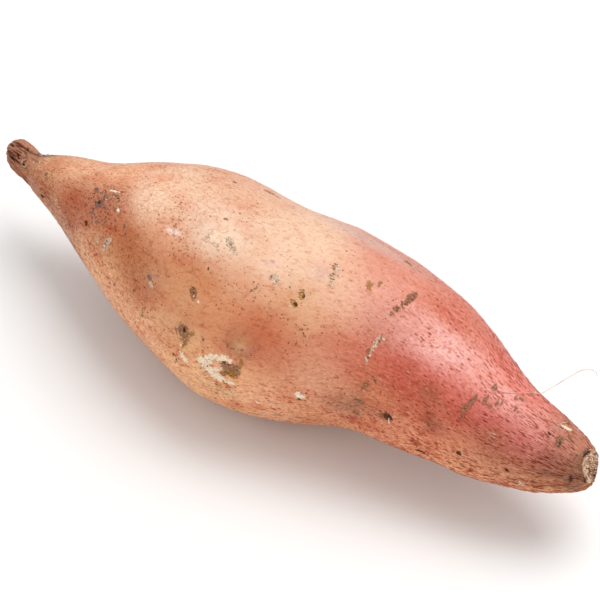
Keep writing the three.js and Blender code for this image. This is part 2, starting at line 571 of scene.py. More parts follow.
# The skin's colour: patches that blend into each other, from the neck to the trimmed end.
ZONES = [Zone(*patch) for patch in (
    # The stalk's knob and the neck: brown bark, then tan.
    (-103, 0, 7, 30, "#B27A5E"),
    (-98, 60, 7, 10, "#9A6044"),
    (-90, 0, 9, 8, "#E4A87E"),
    (-88, 70, 10, 8, "#A86434"),
    (-88, 150, 12, 12, "#B07B58"),
    (-88, -100, 12, 12, "#B88461"),
    # The shoulder: pale on top, partly a painted highlight; burnt orange down its front, partly painted shade
    # along a dark band; tan under it.
    (-74, 0, 11, 9, "#FFCCA6"),
    (-68, 48, 12, 8, "#9C4010"),
    (-70, 88, 14, 9, "#C89674"),
    (-68, 180, 20, 20, "#C28F6C"),
    (-66, -70, 18, 16, "#CD946E"),
    (-57, 2, 11, 9, "#F2B388"),
    (-53, 32, 9, 8, "#B86038"),
    (-50, 78, 14, 10, "#EEB686"),
    (-41, 50, 10, 7, "#B8682F"),
    (-38, 4, 13, 11, "#F2CEB0"),
    (-29, 60, 9, 8, "#B4683A"),
    (-32, 92, 16, 11, "#EAAE84"),
    (-26, 30, 8, 6, "#DC9A74"),
    # The belly's crown: cream, partly a painted highlight, with peach and orange down its front.
    (-18, -18, 16, 12, "#E0AE8E"),
    (-12, 14, 11, 8, "#EACAB4"),
    (-14, 42, 9, 7, "#CC885C"),
    (-13, 66, 9, 8, "#DA9E72"),
    (-6, 96, 16, 12, "#EBB482"),
    (2, 56, 8, 6, "#D48E64"),
    (4, -6, 11, 12, "#E6C2A4"),
    (6, 28, 9, 7, "#DEAA86"),
    (13, 60, 8, 8, "#C2663E"),
    (11, 82, 9, 7, "#ECAA7C"),
    (18, 98, 12, 9, "#EAAE86"),
    (22, 62, 10, 10, "#C66E48"),
    (20, 38, 8, 6, "#DCAA7E"),
    (21, 14, 9, 9, "#E6BE9E"),
    # The long reddish half: pink on top, partly a painted highlight; deep red down its front, partly painted
    # shade along a dark band; tan low down.
    (29, 34, 8, 7, "#E0A688"),
    (31, 74, 9, 8, "#E8AC8A"),
    (36, 0, 11, 10, "#DC9A84"),
    (35, 100, 14, 9, "#D68E64"),
    (38, 54, 8, 7, "#C86A50"),
    (44, 24, 8, 6, "#C67E6C"),
    (46, 74, 10, 7, "#D0825A"),
    (50, -14, 14, 10, "#D07A64"),
    (52, 46, 9, 7, "#C24C38"),
    # Painted highlight: the pale pink patch where the sheen falls on top.
    (56, 16, 11, 6, "#F4C0BA"),
    (56, 92, 13, 8, "#D88460"),
    (62, 58, 9, 7, "#B4442E"),
    (66, 78, 10, 7, "#D47C5A"),
    (66, 32, 10, 6, "#D06656"),
    (70, 110, 16, 10, "#F0B488"),
    # Partly a painted highlight: pale pink along the top nearer the end.
    (74, 8, 11, 6, "#F4B8AE"),
    (76, 40, 9, 6, "#BA463E"),
    (76, -24, 12, 7, "#DA7466"),
    (82, 62, 9, 6, "#983E28"),
    (84, 92, 12, 7, "#CC8864"),
    (88, 14, 8, 6, "#DE988C"),
    (88, 34, 8, 5, "#C4605A"),
    (96, 66, 7, 6, "#7A321E"),
    (96, 0, 7, 7, "#B6765C"),
    (98, 110, 8, 8, "#E0A474"),
    (98, -100, 9, 9, "#A9654D"),
    # The back and the underside, which lay in the soil: duller and browner.
    (-36, -60, 20, 13, "#D8A583"),
    (-40, 180, 24, 22, "#CFA07A"),
    (-10, -62, 20, 13, "#D6A58B"),
    (-5, -120, 24, 18, "#D7A27E"),
    (0, 170, 26, 20, "#D9A780"),
    (24, -50, 14, 11, "#D0998A"),
    (32, -105, 20, 16, "#CB856A"),
    (38, 165, 22, 16, "#D29A70"),
    (64, -62, 16, 11, "#C97262"),
    (68, -115, 18, 12, "#B8644F"),
    (70, 165, 18, 12, "#C58C66"),
)]

# Thin washes over those, laid one after another.
WASHES = [Zone(*patch) for patch in (
    (-49, 60, 5, 4, "#BA7850", 0.5),  # dry skin round the pale scars
    # Partly painted shade: this wash also darkens the band down the shoulder's front.
    (-68, 50, 10, 5.5, "#B8560E", 0.6),  # the burnt orange front of the shoulder
    (-57, 55, 3, 2.5, "#B85426", 0.6),  # flush round the red pit
    (-54, 33, 7, 5.5, "#8F4836", 0.34),  # the bruised shoulder
    (-95, 18, 4, 3.5, "#8A5436", 0.5),  # the grimy collar of the knob
    (-94.5, -10, 4, 3, "#96705E", 0.5),
    (-7.5, 71.5, 3.4, 3.2, "#B8804E", 0.45),  # stained skin round the hole
    (102.5, 20, 2.2, 6, "#7E5446", 0.5),  # browned skin at the cut
    (102.5, 100, 2.2, 6, "#704834", 0.5),
    (-24.5, 28, 3.2, 0.8, "#FFF0E8", 0.9),
    # Partly painted highlight: a pale wash over the belly's crown.
    (-10, 17, 6, 6, "#F1D3B4", 0.6),
    (-24, 58, 4, 4, "#CBA07E", 0.6),  # faded ring round the grey spot
    # Partly painted highlight: another pale wash over the belly's crown.
    (8, 20, 6, 5, "#F0CDB4", 0.55),
    (7.2, 18, 0.8, 0.8, "#C79AA6", 0.7),
    (9.4, 67.5, 4.6, 4.2, "#9A5A3E", 0.65),  # the brown ring round the raised lump
    (9.8, 67.5, 2.5, 2.6, "#CFA276", 0.9),
    (12.9, 67.5, 0.7, 1.0, "#B88C88", 0.5),
    (5, 99, 6, 3, "#CBB184", 0.6),  # dry skin under the peeled patch
    (4, 79, 2.4, 2.4, "#DCA98C", 0.7),
    (20, 13, 2.6, 2.6, "#D8B6AA", 0.55),
    (19, -31, 16, 3, "#C4ACA0", 0.55),  # the violet bloom along the back
    (36, -36, 12, 3, "#B88070", 0.45),
    (53, 42, 3, 2.4, "#B05638", 0.6),
    (61, 50, 3.4, 3, "#A25A30", 0.6),
    (65, 74, 3, 2.4, "#98543C", 0.55),
    (63, 70, 2, 2, "#784C32", 0.4),
    (80, 50, 3, 2, "#B87C5C", 0.45),
    (39, 90, 6, 4, "#84523A", 0.5),
    (43, 84, 3, 4, "#84523C", 0.45),
    (-8, 60, 5, 4, "#CC946A", 0.3),
    (-7, 43, 4, 3.5, "#C88450", 0.4),
    (-35, 50, 6, 5, "#B06A3A", 0.35),
    (50, 85, 3, 2.4, "#8A4A30", 0.4),
    (95, 46, 4, 3.5, "#8A4436", 0.45),
    (100.5, 55, 2.5, 4, "#7A4638", 0.45),
    (-96, -12, 4, 4, "#C8967A", 0.4),
)]

MARKS = [
    # The knob's folds and the neck's pits.
    *marks(Layer.ROT, (-100.6, 56, 2.6, 0.5, 14, -0.75), (-97.6, 38, 1.6, 0.35, 30, -0.5, 0.85),
           (-102.2, 12, 1.5, 0.3, 10, -0.4, 0.85), (-99.4, 1, 1.9, 0.25, -12, -0.4, 0.8),
           (-97, -6, 1.2, 0.22, 20, -0.35, 0.75), (-97.5, 130, 4.0, 0.5, -6, -0.5, 0.8),
           (-99.5, -95, 4.4, 0.5, 5, -0.55, 0.85), (-98, -150, 3.6, 0.5, -8, -0.45, 0.8),
           (-94, 50, 1.0, 0.45, 50, -0.3, 0.7), (-88, 21, 0.6, 0.5, 0, -0.2),
           (-82, 79, 1.0, 0.7, 0, -0.25, 0.8)),
    *marks(Layer.CORK, (-98.4, 20, 2.6, 0.3, -8, -0.35, 0.8), (-96, 12, 1.8, 0.4, 25, -0.25, 0.8),
           (-95, 30, 1.6, 0.9, 60, -0.2, 0.8), (-99, 78, 2.4, 0.3, 6, -0.35, 0.8),
           (-83.5, 39, 1.1, 0.8, 30, -0.3, 0.8)),
    *marks(Layer.HUSK, (-103.6, 10, 0.9, 0.4, 80, 0, 0.7), (-75, 64, 1.3, 0.8, 20, 0.12),
           (-75, 92, 3.4, 0.8, 5, 0.15), (-88, 0, 2.6, 1.2, 0, 0, 0.6)),
    *marks(Layer.SLATE, (-65.5, 71, 2.0, 1.0, 30, 0, 0.6), (-91, -20, 3.0, 1.2, 0, 0, 0.55)),
    # The slate-blue stain on the shoulder.
    *marks(Layer.SLATE, (-60.5, 24, 1.1, 0.8, -30, -0.1), (-55.5, 34, 1.9, 1.3, -40, -0.15),
           (-54, 33, 8.5, 4.6, -25, 0, 0.36), (-41.5, 40, 1.6, 0.7, 60, 0, 0.7),
           (-40, 45, 2.0, 1.2, 70, 0, 0.5)),
    *marks(Layer.ROT, (-55.8, 34, 1.1, 0.8, -40, 0, 0.75), (-57, 55, 1.0, 0.8, 0, -0.7)),
    *marks(Layer.PEEL, (-52.8, 19.5, 2.8, 0.4, -8, 0.1), (-46.8, 32, 0.8, 0.45, 45, 0.15)),
    # Dry scars on the belly.
    *marks(Layer.HUSK, (-49.2, 58, 1.6, 0.7, 110, 0, 0.9), (-45.5, 57, 2.8, 1.5, 110, 0, 0.95),
           (-23.6, 60, 1.5, 1.0, 25, 0, 0.75), (-8.1, 53, 0.45, 0.3, 50, 0.18),
           (-17.4, -8, 1.1, 0.8, 50, 0.12), (-13.2, 21.5, 1.8, 0.9, 40, 0, 0.9),
           (-9.6, 23, 2.2, 0.7, 30, 0, 0.9), (-6, 18.2, 3.2, 1.2, 32, 0, 0.95),
           (-2.5, 22, 1.8, 0.35, 30, 0, 0.6), (10.4, 26, 2.4, 1.4, 60, 0, 0.75)),
    *marks(Layer.SLATE, (-45.8, 57.5, 1.8, 0.5, 110, 0, 0.85), (-24.9, 57.5, 1.6, 1.1, 0, -0.1, 0.65),
           (-13.9, 22.5, 1.0, 0.5, 40, -0.1, 0.6), (-6.2, 17.8, 2.5, 0.45, 32, -0.1, 0.68),
           (9.6, 26.5, 2.0, 0.5, 75, -0.1, 0.64), (11.2, 27.5, 1.8, 0.5, 40, -0.1, 0.64),
           (15.3, 27, 0.7, 0.5, 50, 0, 0.85), (13, 21, 0.7, 0.5, 50, 0, 0.55)),
    *marks(Layer.CORK, (-8.6, 50.5, 2.1, 1.1, 45, -0.25), (-22.5, -25, 1.0, 0.7, 20, 0.12),
           (-12.7, -35, 2.6, 0.6, -2, 0.15), (-10, -16, 0.7, 0.4, 30, 0, 0.8),
           (-13.1, 6, 0.9, 0.7, -20, 0, 0.9), (-11, -2, 0.6, 0.4, 0, 0, 0.8),
           (-17.3, 9, 0.9, 0.5, 30, 0, 0.6), (5.8, 34, 1.0, 0.6, 20, 0, 0.6)),
    *marks(Layer.ROT, (-8.6, 50.5, 1.7, 0.8, 45, 0, 0.55), (-8, 35, 0.4, 0.4, 0, -0.15)),
    Mark(Layer.PEEL, -6.2, 54.5, 0.45, 0.35, 0, 0.15),
    Mark(Layer.OCHRE, -11.7, 12, 0.8, 0.6, 0, 0, 0.55),
    # The black-brown hole with its ochre run, and the spots near it.
    Mark(Layer.ROT, -7.3, 70, 1.0, 0.6, 60, -0.6, 0.9),
    *marks(Layer.OCHRE, (-4.8, 71.5, 0.9, 1.5, 30, 0, 0.95), (-6, 76.5, 2.4, 0.9, 112, 0.1)),
    *marks(Layer.CORK, (-7.2, 72.8, 2.6, 2.2, 60, -0.15, 0.9), (-9.6, 74.5, 2.2, 1.7, 20, 0, 0.55)),
    Mark(Layer.SLATE, -0.5, 70, 0.7, 0.8, 0, 0, 0.8),
    # The lump with rays.
    Mark(Layer.HUSK, 9.8, 67, 1.6, 1.3, 0, 0, 0.4),
    Mark(Layer.CORK, 6.6, 68.5, 1.2, 1.1, 0, 0, 0.5),
    # The patch where the skin peels.
    *marks(Layer.PEEL, (-0.4, 82.2, 2.4, 0.8, -38, 0.14), (2.6, 79, 2.4, 1.1, -35, 0.16),
           (5.8, 76.6, 2.2, 1.0, -28, 0.16), (8.2, 76.2, 0.9, 0.8, 20, 0.14),
           (0.6, 83.6, 2.0, 1.5, 50, 0.15), (2.6, 86, 2.4, 1.6, 40, 0.16),
           (4.4, 84.5, 1.8, 0.9, -30, 0.14), (2.4, 81, 1.2, 0.8, 20, 0.12),
           (5.6, 89, 2.6, 1.5, 14, 0.16), (8.6, 91, 2.0, 0.9, 8, 0.14), (-6.2, 86, 2.2, 1.2, 40, 0.13),
           (-7.8, 80, 0.8, 0.5, 0, 0, 0.7), (16.1, 101, 0.6, 0.4, 40, 0.12)),
    Mark(Layer.ROT, 6.3, 79, 0.9, 0.7, 0, -0.55),
    *marks(Layer.CORK, (8.6, 81.5, 3.0, 2.3, -10, -0.3, 0.95), (6.8, 85.5, 1.2, 0.8, 40, 0, 0.85),
           (-8.6, 92, 1.0, 0.6, -50, -0.2, 0.9)),
    *marks(Layer.OCHRE, (9.4, 84, 1.9, 1.3, 10, 0, 0.95), (11, 77.5, 0.8, 1.9, 0, 0.14)),
    # Dark edges where the belly meets the table.
    *marks(Layer.CORK, (12.6, 119, 2.6, 0.5, 4, 0, 0.8), (25.9, 116, 2.0, 0.5, 6, 0, 0.9)),
    Mark(Layer.SLATE, 20.5, 114, 2.2, 0.6, 4, 0, 0.7),
    # Between the two swellings.
    *marks(Layer.HUSK, (19.4, 28.8, 2.2, 1.4, 80, 0, 0.75), (17.6, 37.5, 1.2, 0.8, 60, 0, 0.7)),
    *marks(Layer.OCHRE, (19.5, 28.5, 1.6, 0.9, 80, -0.3), (18.8, 36, 1.5, 1.0, 30, 0, 0.85),
           (19.2, 44, 0.6, 0.6, 0, 0, 0.8), (32.5, 8, 1.7, 0.8, 55, 0.12),
           (33, 5.8, 0.9, 0.6, -10, 0.12), (34.4, 3.2, 1.3, 0.7, 75, 0.12),
           (27.5, 91.6, 1.0, 0.8, 0, 0, 0.9)),
    *marks(Layer.ROT, (19.6, 28.7, 0.95, 0.5, 80, -0.15, 0.85), (19.1, 35, 0.85, 0.6, 40, -0.4, 0.9),
           (27.4, 92, 0.5, 0.4, 0, -0.4)),
    *marks(Layer.CORK, (23.7, 47, 0.6, 0.5, 0, 0, 0.85), (24, 57, 0.5, 0.9, 0, 0, 0.8),
           (20.9, -8, 0.5, 0.4, 0, 0, 0.8), (34, -31, 1.6, 0.8, 10, 0.12)),
    Mark(Layer.PEEL, 27.5, 90, 1.9, 1.8, 10, 0, 0.74),
    # Smudges and pits on the lower front of the reddish half.
    *marks(Layer.CORK, (44.5, 68, 2.1, 0.9, 110, 0, 0.95), (46.3, 62, 1.5, 0.6, 30, 0, 0.72),
           (43.6, 81, 1.7, 0.8, 0, 0, 0.95), (43, 92, 1.3, 1.5, 0, 0, 0.72),
           (50.2, 86, 1.3, 0.8, 0, -0.2, 0.8), (74.6, 98, 1.3, 0.8, 30, 0, 0.7)),
    *marks(Layer.ROT, (52.1, 85, 1.5, 1.3, 0, -0.8), (61.7, 108, 1.6, 0.7, 0, -0.45),
           (73, 86, 0.8, 0.6, 0, -0.5), (86, 83, 0.7, 0.55, 0, -0.4)),
    Mark(Layer.PEEL, 52.6, 87.5, 0.7, 0.25, 70, 0.1),
    *marks(Layer.HUSK, (90, 97, 1.3, 0.9, 20, 0.3), (79.9, 50, 1.8, 1.0, 0, 0, 0.45)),
    Mark(Layer.SLATE, 95.6, 42, 0.5, 0.5, 0, 0, 0.9),
    # Scabs towards the trimmed end.
    *marks(Layer.CORK, (73.8, 8, 1.3, 0.8, 70, 0.15), (80.7, -6, 1.4, 0.8, -20, 0.15),
           (79.4, -2, 0.8, 0.6, 60, 0.12), (81.3, 11, 1.3, 0.7, 60, 0.15),
           (94.7, 12, 1.9, 1.4, 70, 0.22), (95.8, -10, 1.1, 0.9, 50, 0.15),
           (100.8, 84, 1.6, 0.8, 80, 0, 0.85), (100.2, 20, 1.8, 0.5, 85, 0, 0.72)),
    *marks(Layer.ROT, (73.9, 10, 0.6, 0.5, 0, -0.3, 0.9), (91.4, 11, 0.8, 0.55, 30, -0.35, 0.75),
           (95.2, 15, 1.1, 0.35, 70, 0.24), (92.6, -12, 1.0, 0.3, -18, -0.2, 0.7),
           (94.2, 6, 1.3, 0.35, 60, -0.3, 0.8), (101.2, 66, 1.3, 0.6, 85, -0.3, 0.9)),
    Mark(Layer.HUSK, 81, -36, 1.5, 0.8, 70, 0.15),
    Mark(Layer.PEEL, 94.1, -18, 1.8, 0.55, -18, 0.22),
    Mark(Layer.SLATE, 101.4, -6, 1.5, 0.9, 80, 0, 0.75),
    # The back and the underside.
    *marks(Layer.CORK, (-62, -80, 2.4, 0.8, 70, 0.12), (40, -85, 3.2, 0.8, 82, 0.15),
           (70, -70, 2.0, 0.8, 70, 0.15), (86, -110, 1.8, 1.2, 40, 0.2), (-20, 150, 2.4, 1.2, 30, 0.12),
           (80, 150, 1.6, 1.0, 20, 0.2)),
    *marks(Layer.HUSK, (-30, -70, 3.2, 1.4, 75, 0.12), (16, -105, 2.6, 1.0, 70, 0.15),
           (44, 150, 3.0, 1.2, 60, 0.15)),
    Mark(Layer.SLATE, -18, -100, 1.8, 1.2, 20, 0, 0.7),
    *marks(Layer.ROT, (2, -75, 1.1, 0.9, 0, -0.6), (58, -95, 1.0, 0.8, 0, -0.55),
           (-46, 140, 1.0, 0.8, 0, -0.5)),
    Mark(Layer.OCHRE, 4, -72, 1.4, 0.6, 40, 0.12),
    # The scar across the second swelling: dark and corky on top, pale and beaded below.
    *row(Layer.CORK, [(43.4, -7), (43.2, 1), (41.8, 17)], 26, 0.75, 0.38, 10, 3, relief=0.12),
    *row(Layer.ROT, [(43.5, -5), (43.2, 2), (42.4, 12)], 11, 0.42, 0.25, 10, 4, relief=0.14),
    *row(Layer.HUSK, [(43.4, 33), (42.7, 41), (42.2, 52)], 12, 0.8, 0.5, 70, 5, relief=0.14),
    *row(Layer.CORK, [(43.2, 34), (42.7, 42), (42.5, 50)], 6, 0.5, 0.4, 20, 6, relief=0.16),
    # The pale scar on the belly, cracked across.
    *row(Layer.HUSK, [(22.2, 4), (23.2, 9), (24.3, 17)], 8, 0.95, 0.65, 80, 7, relief=0.14),
    *row(Layer.CORK, [(21.8, 3), (23.2, 10), (24.3, 16)], 9, 0.75, 0.25, 5, 8, relief=0.17),
    # Three slanting scabs, and more of the same nearer the end.
    *row(Layer.CORK, [(70.4, 49), (71, 38), (71.4, 27)], 9, 1.1, 0.5, 72, 9, relief=0.15),
    *row(Layer.CORK, [(73.6, 29), (74.2, 20)], 6, 0.8, 0.45, 70, 10, relief=0.15),
    *row(Layer.CORK, [(75.8, 26), (77, 16)], 6, 0.9, 0.45, 70, 11, relief=0.15),
    # Specks in clusters.
    *sprinkle(Layer.SLATE, (-53, 34), (9, 17), 80, 0.45, 21, relief=0.06),
    *sprinkle(Layer.RUST, (-54, 23), (9, 14), 70, 0.34, 22, relief=0.06),
    *sprinkle(Layer.HUSK, (-51, 26), (6, 11), 12, 0.28, 23, relief=0.08),
    *sprinkle(Layer.ROT, (-53, 30), (8, 14), 44, 0.3, 33, relief=0.06),
    *sprinkle(Layer.RUST, (-27, 23), (6, 9), 46, 0.3, 24, relief=0.06),
    *sprinkle(Layer.RUST, (-20, 32), (7, 8), 30, 0.28, 25, relief=0.06),
    *sprinkle(Layer.CORK, (-23, 77), (2, 4), 8, 0.4, 26, relief=0.06),
    *sprinkle(Layer.CORK, (5.8, 34), (2, 4), 6, 0.35, 27, relief=0.06),
    *sprinkle(Layer.CORK, (20, 52), (7, 10), 16, 0.34, 28, relief=0.06),
    *sprinkle(Layer.ROT, (-8.5, 91), (2.2, 4), 7, 0.4, 29, relief=0.08),
    *sprinkle(Layer.CORK, (4, 82), (6, 9), 16, 0.42, 30, relief=0.12),
    *sprinkle(Layer.RUST, (-86, 38), (7, 24), 60, 0.3, 34, relief=0.06),
    *sprinkle(Layer.HUSK, (-89, 20), (5, 22), 14, 0.34, 35, relief=0.08),
    *sprinkle(Layer.SLATE, (-90.5, -16), (4, 12), 16, 0.45, 36, relief=0.14),
    *sprinkle(Layer.RUST, (-33, 56), (11, 17), 90, 0.3, 37, relief=0.05),
    *sprinkle(Layer.RUST, (-74, 66), (10, 22), 60, 0.3, 38, relief=0.06),
    *sprinkle(Layer.RUST, (6, 46), (10, 11), 60, 0.26, 39, relief=0.05),
]


@dataclass(frozen=True)
class Look:
    """How a layer of blemish looks.

    Attributes:
        dark: The sRGB colour of its darkest part.
        light: The sRGB colour of its lightest part.
        stands: How far its surface stands out from the skin, or lies under it where negative, in millimetres.
        cover: How much of the skin's own colour it hides.
    """

    dark: str
    light: str
    stands: float
    cover: float


LOOKS = {
    Layer.HUSK: Look("#987860", "#E8CCB0", 0.06, 0.85),
    Layer.CORK: Look("#4A2A1C", "#A87650", 0.08, 0.85),
    Layer.PEEL: Look("#E8C8A4", "#FAE8D0", 0.12, 1.0),
    Layer.SLATE: Look("#33262A", "#806C66", 0.02, 0.8),
    Layer.RUST: Look("#84482A", "#B4724C", 0.03, 0.8),
    Layer.OCHRE: Look("#6A3E14", "#C08840", 0.05, 0.85),
    Layer.ROT: Look("#1C0F0A", "#5E3824", -0.10, 0.92),
}


@dataclass(frozen=True)
class SkinFinish:
    """Cured periderm, washed and dried: a thin satin skin, never glossy.

    The eye gets a warm skin whose colour drifts from tan through cream to red, with fine lengthwise fibres
    and pinprick pores. A blemish has a ragged edge and is rougher than the skin round it.

    Attributes:
        fibre_wide: How wide a fibre of the skin is, in millimetres; drawn twice as coarse as it is, to show.
        fibre_long: How long a fibre is, in millimetres.
        blotch: How wide the soft blotches are, in millimetres.
        freckle: How wide the small freckles are, in millimetres.
        mottle: How wide the pale and dark flecks all over it are, in millimetres.
        grit: How wide the finest flecks are, in millimetres.
        drawn_out: How wide a blotch or a fleck is, as a share of its length along the root.
        pore_gap: How far apart the pinprick pores are, in millimetres.
        ragged: The size of the bites out of a blemish's edge, in millimetres.
        roughness: The roughness of sound skin.
    """

    fibre_wide: float = 0.24
    fibre_long: float = 2.4
    blotch: float = 7.0
    freckle: float = 1.3
    mottle: float = 0.75
    grit: float = 0.42
    drawn_out: float = 0.6
    pore_gap: float = 0.95
    ragged: float = 0.9
    roughness: float = 0.48

    def material(self) -> bpy.types.Material:
        """Builds the material."""
        made, tree, shader = new_material("cured_periderm")
        node = partial(add_node, tree)
        grain = node("ShaderNodeAttribute", {}, attribute_name="grain").outputs["Vector"]
        colour = node("ShaderNodeAttribute", {}, attribute_name="skin_colour").outputs["Color"]
        redness = node("ShaderNodeAttribute", {}, attribute_name="redness").outputs["Fac"]
        pricked = node("ShaderNodeAttribute", {}, attribute_name="pricked").outputs["Fac"]
        stretch = (self.fibre_wide / self.fibre_long, 1, 1)
        drawn = node("ShaderNodeMapping", {"Vector": grain, "Scale": stretch})
        short = node("ShaderNodeMapping", {"Vector": grain, "Scale": (self.drawn_out, 1, 1)})
        fields = {}
        for name, place, size, detail in (
            ("fibres", drawn, self.fibre_wide, 3.0),
            ("blotches", short, self.blotch, 6.0),
            ("freckles", short, self.freckle, 4.0),
            ("mottle", short, self.mottle, 3.0),
            ("grit", short, self.grit, 2.0),
            ("ragged", short, self.ragged, 5.0),
        ):
            inputs = {"Vector": place.outputs[0], "Scale": 1 / size, "Detail": detail}
            fields[name] = node("ShaderNodeTexNoise", inputs).outputs["Fac"]
        # Warm blotches and freckles deepen the colour.
        spotted = node("ShaderNodeMapRange", {"Value": pricked, 1: 0.4, 2: 1.0, 3: 0.7, 4: 1.6}).outputs[0]
        for name, low, high, most, shade in (
            ("blotches", 0.48, 0.76, 0.56, "#E8A276"),
            ("freckles", 0.54, 0.74, 0.58, "#CC8254"),
        ):
            ends = {"Value": fields[name], 1: low, 2: high, 3: 0.0, 4: most}
            amount = node("ShaderNodeMapRange", ends).outputs[0]
            amount = node("ShaderNodeMath", {0: amount, 1: spotted}, operation="MULTIPLY").outputs[0]
            inputs = {0: amount, 6: colour, 7: linear(shade)}
            colour = node("ShaderNodeMix", inputs, data_type="RGBA", blend_type="MULTIPLY").outputs[2]
        # Pale fibres lie over the skin, and it is darker in the gaps between them.
        for ends, blend, shade in (
            ({1: 0.54, 2: 0.74, 3: 0.0, 4: 0.3}, "MIX", "#F6D2B4"),
            ({1: 0.28, 2: 0.46, 3: 0.34, 4: 0.0}, "MULTIPLY", "#B9694A"),
        ):
            amount = node("ShaderNodeMapRange", {"Value": fields["fibres"]} | ends).outputs[0]
            amount = node("ShaderNodeMath", {0: amount, 1: redness}, operation="MULTIPLY").outputs[0]
            inputs = {0: amount, 6: colour, 7: linear(shade)}
            colour = node("ShaderNodeMix", inputs, data_type="RGBA", blend_type=blend).outputs[2]
        # Dark flecks are a warm brown and pale ones only lighter, with few of either on the smooth crown.
        flecked = node("ShaderNodeMapRange", {"Value": pricked, 1: 0.4, 2: 1.0, 3: 0.2, 4: 1.0}).outputs[0]
        for name, most in (("mottle", 0.75), ("grit", 0.5)):
            ends = {"Value": fields[name], 1: 0.5, 2: 0.3, 3: 0.0, 4: most}
            deep = node("ShaderNodeMapRange", ends).outputs[0]
            deep = node("ShaderNodeMath", {0: deep, 1: flecked}, operation="MULTIPLY").outputs[0]
            inputs = {0: deep, 6: colour, 7: linear("#DC9C7A")}
            colour = node("ShaderNodeMix", inputs, data_type="RGBA", blend_type="MULTIPLY").outputs[2]
            pale = {0: flecked, 1: 0.3 * most, 2: 1.0}
            pale = node("ShaderNodeMath", pale, operation="MULTIPLY_ADD").outputs[0]
            ends = {"Value": fields[name], 1: 0.5, 2: 0.7, 3: 1.0, 4: pale}
            tone = node("ShaderNodeMapRange", ends).outputs[0]
            colour = node("ShaderNodeVectorMath", {0: colour, 3: tone}, operation="SCALE").outputs[0]
        # The folds of the knob and the furrows of the trimmed end are painted darker, the deeper each point
        # lies in them.
        hollows = node("ShaderNodeAttribute", {}, attribute_name="hollows").outputs["Fac"]
        inputs = {0: hollows, 6: colour, 7: linear("#7A4A36")}
        colour = node("ShaderNodeMix", inputs, data_type="RGBA", blend_type="MULTIPLY").outputs[2]
        # Pores: the middles of small cells, wider where the skin is pricked.
        cells = node("ShaderNodeTexVoronoi", {"Vector": short.outputs[0], "Scale": 1 / self.pore_gap})
        ends = {"Value": fields["blotches"], 1: 0.35, 2: 0.65, 3: 0.25, 4: 0.75}
        crowd = node("ShaderNodeMapRange", ends).outputs[0]
        width, distance = cells.outputs["Color"], cells.outputs["Distance"]
        for factor in (pricked, crowd):
            width = node("ShaderNodeMath", {0: factor, 1: width}, operation="MULTIPLY").outputs[0]
        inside = node("ShaderNodeMath", {0: width, 1: distance}, operation="SUBTRACT").outputs[0]
        pores = node("ShaderNodeMapRange", {"Value": inside, 1: 0.0, 2: 0.1, 3: 0.0, 4: 0.85}).outputs[0]
        inputs = {0: pores, 6: colour, 7: linear("#B8683E")}
        colour = node("ShaderNodeMix", inputs, data_type="RGBA", blend_type="MULTIPLY").outputs[2]
        satin, dull = self.roughness - 0.05, self.roughness + 0.07
        ends = {"Value": fields["freckles"], 1: 0.3, 2: 0.7, 3: satin, 4: dull}
        rough = node("ShaderNodeMapRange", ends).outputs[0]
        height = node("ShaderNodeMath", {0: fields["fibres"], 1: fields["grit"]}, operation="ADD").outputs[0]
        height = node("ShaderNodeMath", {0: height, 1: pores}, operation="SUBTRACT").outputs[0]
        # A blemish shows where its amount and the noise add up, which bites its edge ragged.
        for layer, look in LOOKS.items():
            amount = node("ShaderNodeAttribute", {}, attribute_name=layer.value).outputs["Fac"]
            amount = node("ShaderNodeMath", {0: amount, 1: fields["ragged"]}, operation="ADD").outputs[0]
            ends = {"Value": amount, 1: 0.93, 2: 1.1, 3: 0.0, 4: look.cover}
            mask = node("ShaderNodeMapRange", ends).outputs[0]
            tone = node("ShaderNodeMapRange", {"Value": fields["grit"], 1: 0.34, 2: 0.66}).outputs[0]
            inputs = {0: tone, 6: linear(look.dark), 7: linear(look.light)}
            shade = node("ShaderNodeMix", inputs, data_type="RGBA").outputs[2]
            colour = node("ShaderNodeMix", {0: mask, 6: colour, 7: shade}, data_type="RGBA").outputs[2]
            rough = node("ShaderNodeMath", {0: mask, 1: 0.3, 2: rough}, operation="MULTIPLY_ADD").outputs[0]
            stands = {0: mask, 1: 10 * look.stands, 2: height}
            height = node("ShaderNodeMath", stands, operation="MULTIPLY_ADD").outputs[0]
        bump = node("ShaderNodeBump", {"Height": height, "Strength": 0.4, "Distance": 0.1 * MM})
        tree.links.new(colour, shader.inputs["Base Color"])
        tree.links.new(rough, shader.inputs["Roughness"])
        tree.links.new(bump.outputs[0], shader.inputs["Normal"])
        shader.inputs["IOR"].default_value = 1.45
        shader.inputs["Specular IOR Level"].default_value = 0.38
        return made


